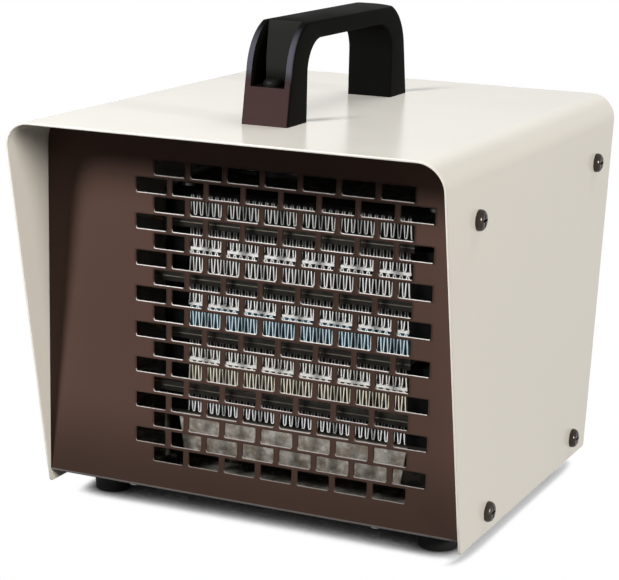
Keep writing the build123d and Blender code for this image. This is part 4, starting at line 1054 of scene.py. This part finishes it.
class HEATER_OT_grilles(bpy.types.Operator):
    """Build the front and rear panels with rounded slots"""

    bl_idname = "heater.grilles"
    bl_label = "Grilles"

    def execute(self, context):
        sizes = context.scene.heater_sizes
        fan = middle("motor_shaft")

        def everywhere(x, z):
            return True

        def in_intake(x, z):
            reach_x = abs(x - fan.x) + sizes.slot_width / 2
            reach_z = abs(z - fan.z) + sizes.slot_height / 2
            return math.hypot(reach_x, reach_z) < sizes.intake_radius

        for name, node, inward, keeps_slot in (("front_grille", "front_panel", 1, everywhere),
                                               ("rear_grille", "rear_panel", -1, in_intake)):
            points, faces, smooth, rim = panel_surface(sizes, node, inward, keeps_slot)
            mesh_piece(name, points, faces, smooth, "heater", node, rim)
        return {"FINISHED"}


class HEATER_OT_fins(bpy.types.Operator):
    """Build the eight folded heating fins"""

    bl_idname = "heater.fins"
    bl_label = "Heating fins"

    def execute(self, context):
        for node in sorted(SLOT_OF):
            if node.startswith("heater_fin_"):
                points, faces, smooth, rim = fin_surface(context.scene.heater_sizes, node)
                mesh_piece(node + "_fold", points, faces, smooth, "heater", node, rim)
        return {"FINISHED"}


class HEATER_OT_handle(bpy.types.Operator):
    """Round the moulded edges of the carry handle on a merged copy of its frame mesh"""

    bl_idname = "heater.handle"
    bl_label = "Carry handle"

    def execute(self, context):
        source = frame["nodes"]["carry_handle"].data
        points = np.empty(len(source.vertices) * 3)
        source.vertices.foreach_get("co", points)
        faces = np.empty(len(source.loops), np.int32)
        source.loops.foreach_get("vertex_index", faces)
        points, faces = points.reshape(-1, 3), faces.reshape(-1, 3)
        smooth = np.ones(len(faces), bool)
        piece = mesh_piece("handle_moulding", points, faces, smooth, "heater", "carry_handle")
        edge = piece.modifiers.new("edges", "BEVEL")
        edge.width = context.scene.heater_sizes.handle_edge
        edge.segments = 3
        edge.limit_method = "ANGLE"
        edge.angle_limit = math.radians(BEVEL_ANGLE)
        edge.harden_normals = True
        return {"FINISHED"}


class HEATER_OT_stage(bpy.types.Operator):
    """Set up the floor, the lights and the camera"""

    bl_idname = "heater.stage"
    bl_label = "Stage"

    def execute(self, context):
        stage = context.scene.heater_stage
        make_floor(stage.gloss)
        make_world(context.scene, stage.room, stage.gloss)
        key = soft_light("key_light", stage.key, **KEY_LAMP)
        no_shadow(key, bpy.data.objects["handle_moulding"])
        soft_light("side_light", stage.side, **SIDE_LAMP)
        top = soft_light("top_light", stage.top, **TOP_LAMP)
        top.visible_glossy = False
        make_camera(context.scene, stage.lens)
        return {"FINISHED"}


class HEATER_PT_panel(bpy.types.Panel):
    bl_idname = "HEATER_PT_panel"
    bl_label = "Ceramic Heater"
    bl_space_type = "VIEW_3D"
    bl_region_type = "UI"
    bl_category = "Heater"

    def draw(self, context):
        for operator in OPERATORS:
            self.layout.operator(operator.bl_idname)
        for group in SETTINGS:
            settings = getattr(context.scene, group)
            for key in settings.__annotations__:
                self.layout.prop(settings, key)


OPERATORS = (HEATER_OT_finishes, HEATER_OT_casing, HEATER_OT_grilles, HEATER_OT_fins, HEATER_OT_handle,
             HEATER_OT_stage)
SETTINGS = {"heater_sizes": HeaterSizes, "heater_colours": HeaterColours, "heater_stage": HeaterStage}


def register():
    for cls in (*SETTINGS.values(), *OPERATORS, HEATER_PT_panel):
        bpy.utils.register_class(cls)
    for key, cls in SETTINGS.items():
        setattr(bpy.types.Scene, key, bpy.props.PointerProperty(type=cls))


def unregister():
    for key in SETTINGS:
        delattr(bpy.types.Scene, key)
    for cls in (HEATER_PT_panel, *reversed(OPERATORS), *SETTINGS.values()):
        bpy.utils.unregister_class(cls)


def main():
    register()
    bpy.context.scene.view_settings.view_transform = "Standard"
    bpy.ops.heater.finishes()
    bpy.ops.heater.casing()
    bpy.ops.heater.grilles()
    bpy.ops.heater.fins()
    bpy.ops.heater.handle()
    bpy.ops.heater.stage()
    bpy.context.view_layer.update()


if __name__ == "__main__":
    main()
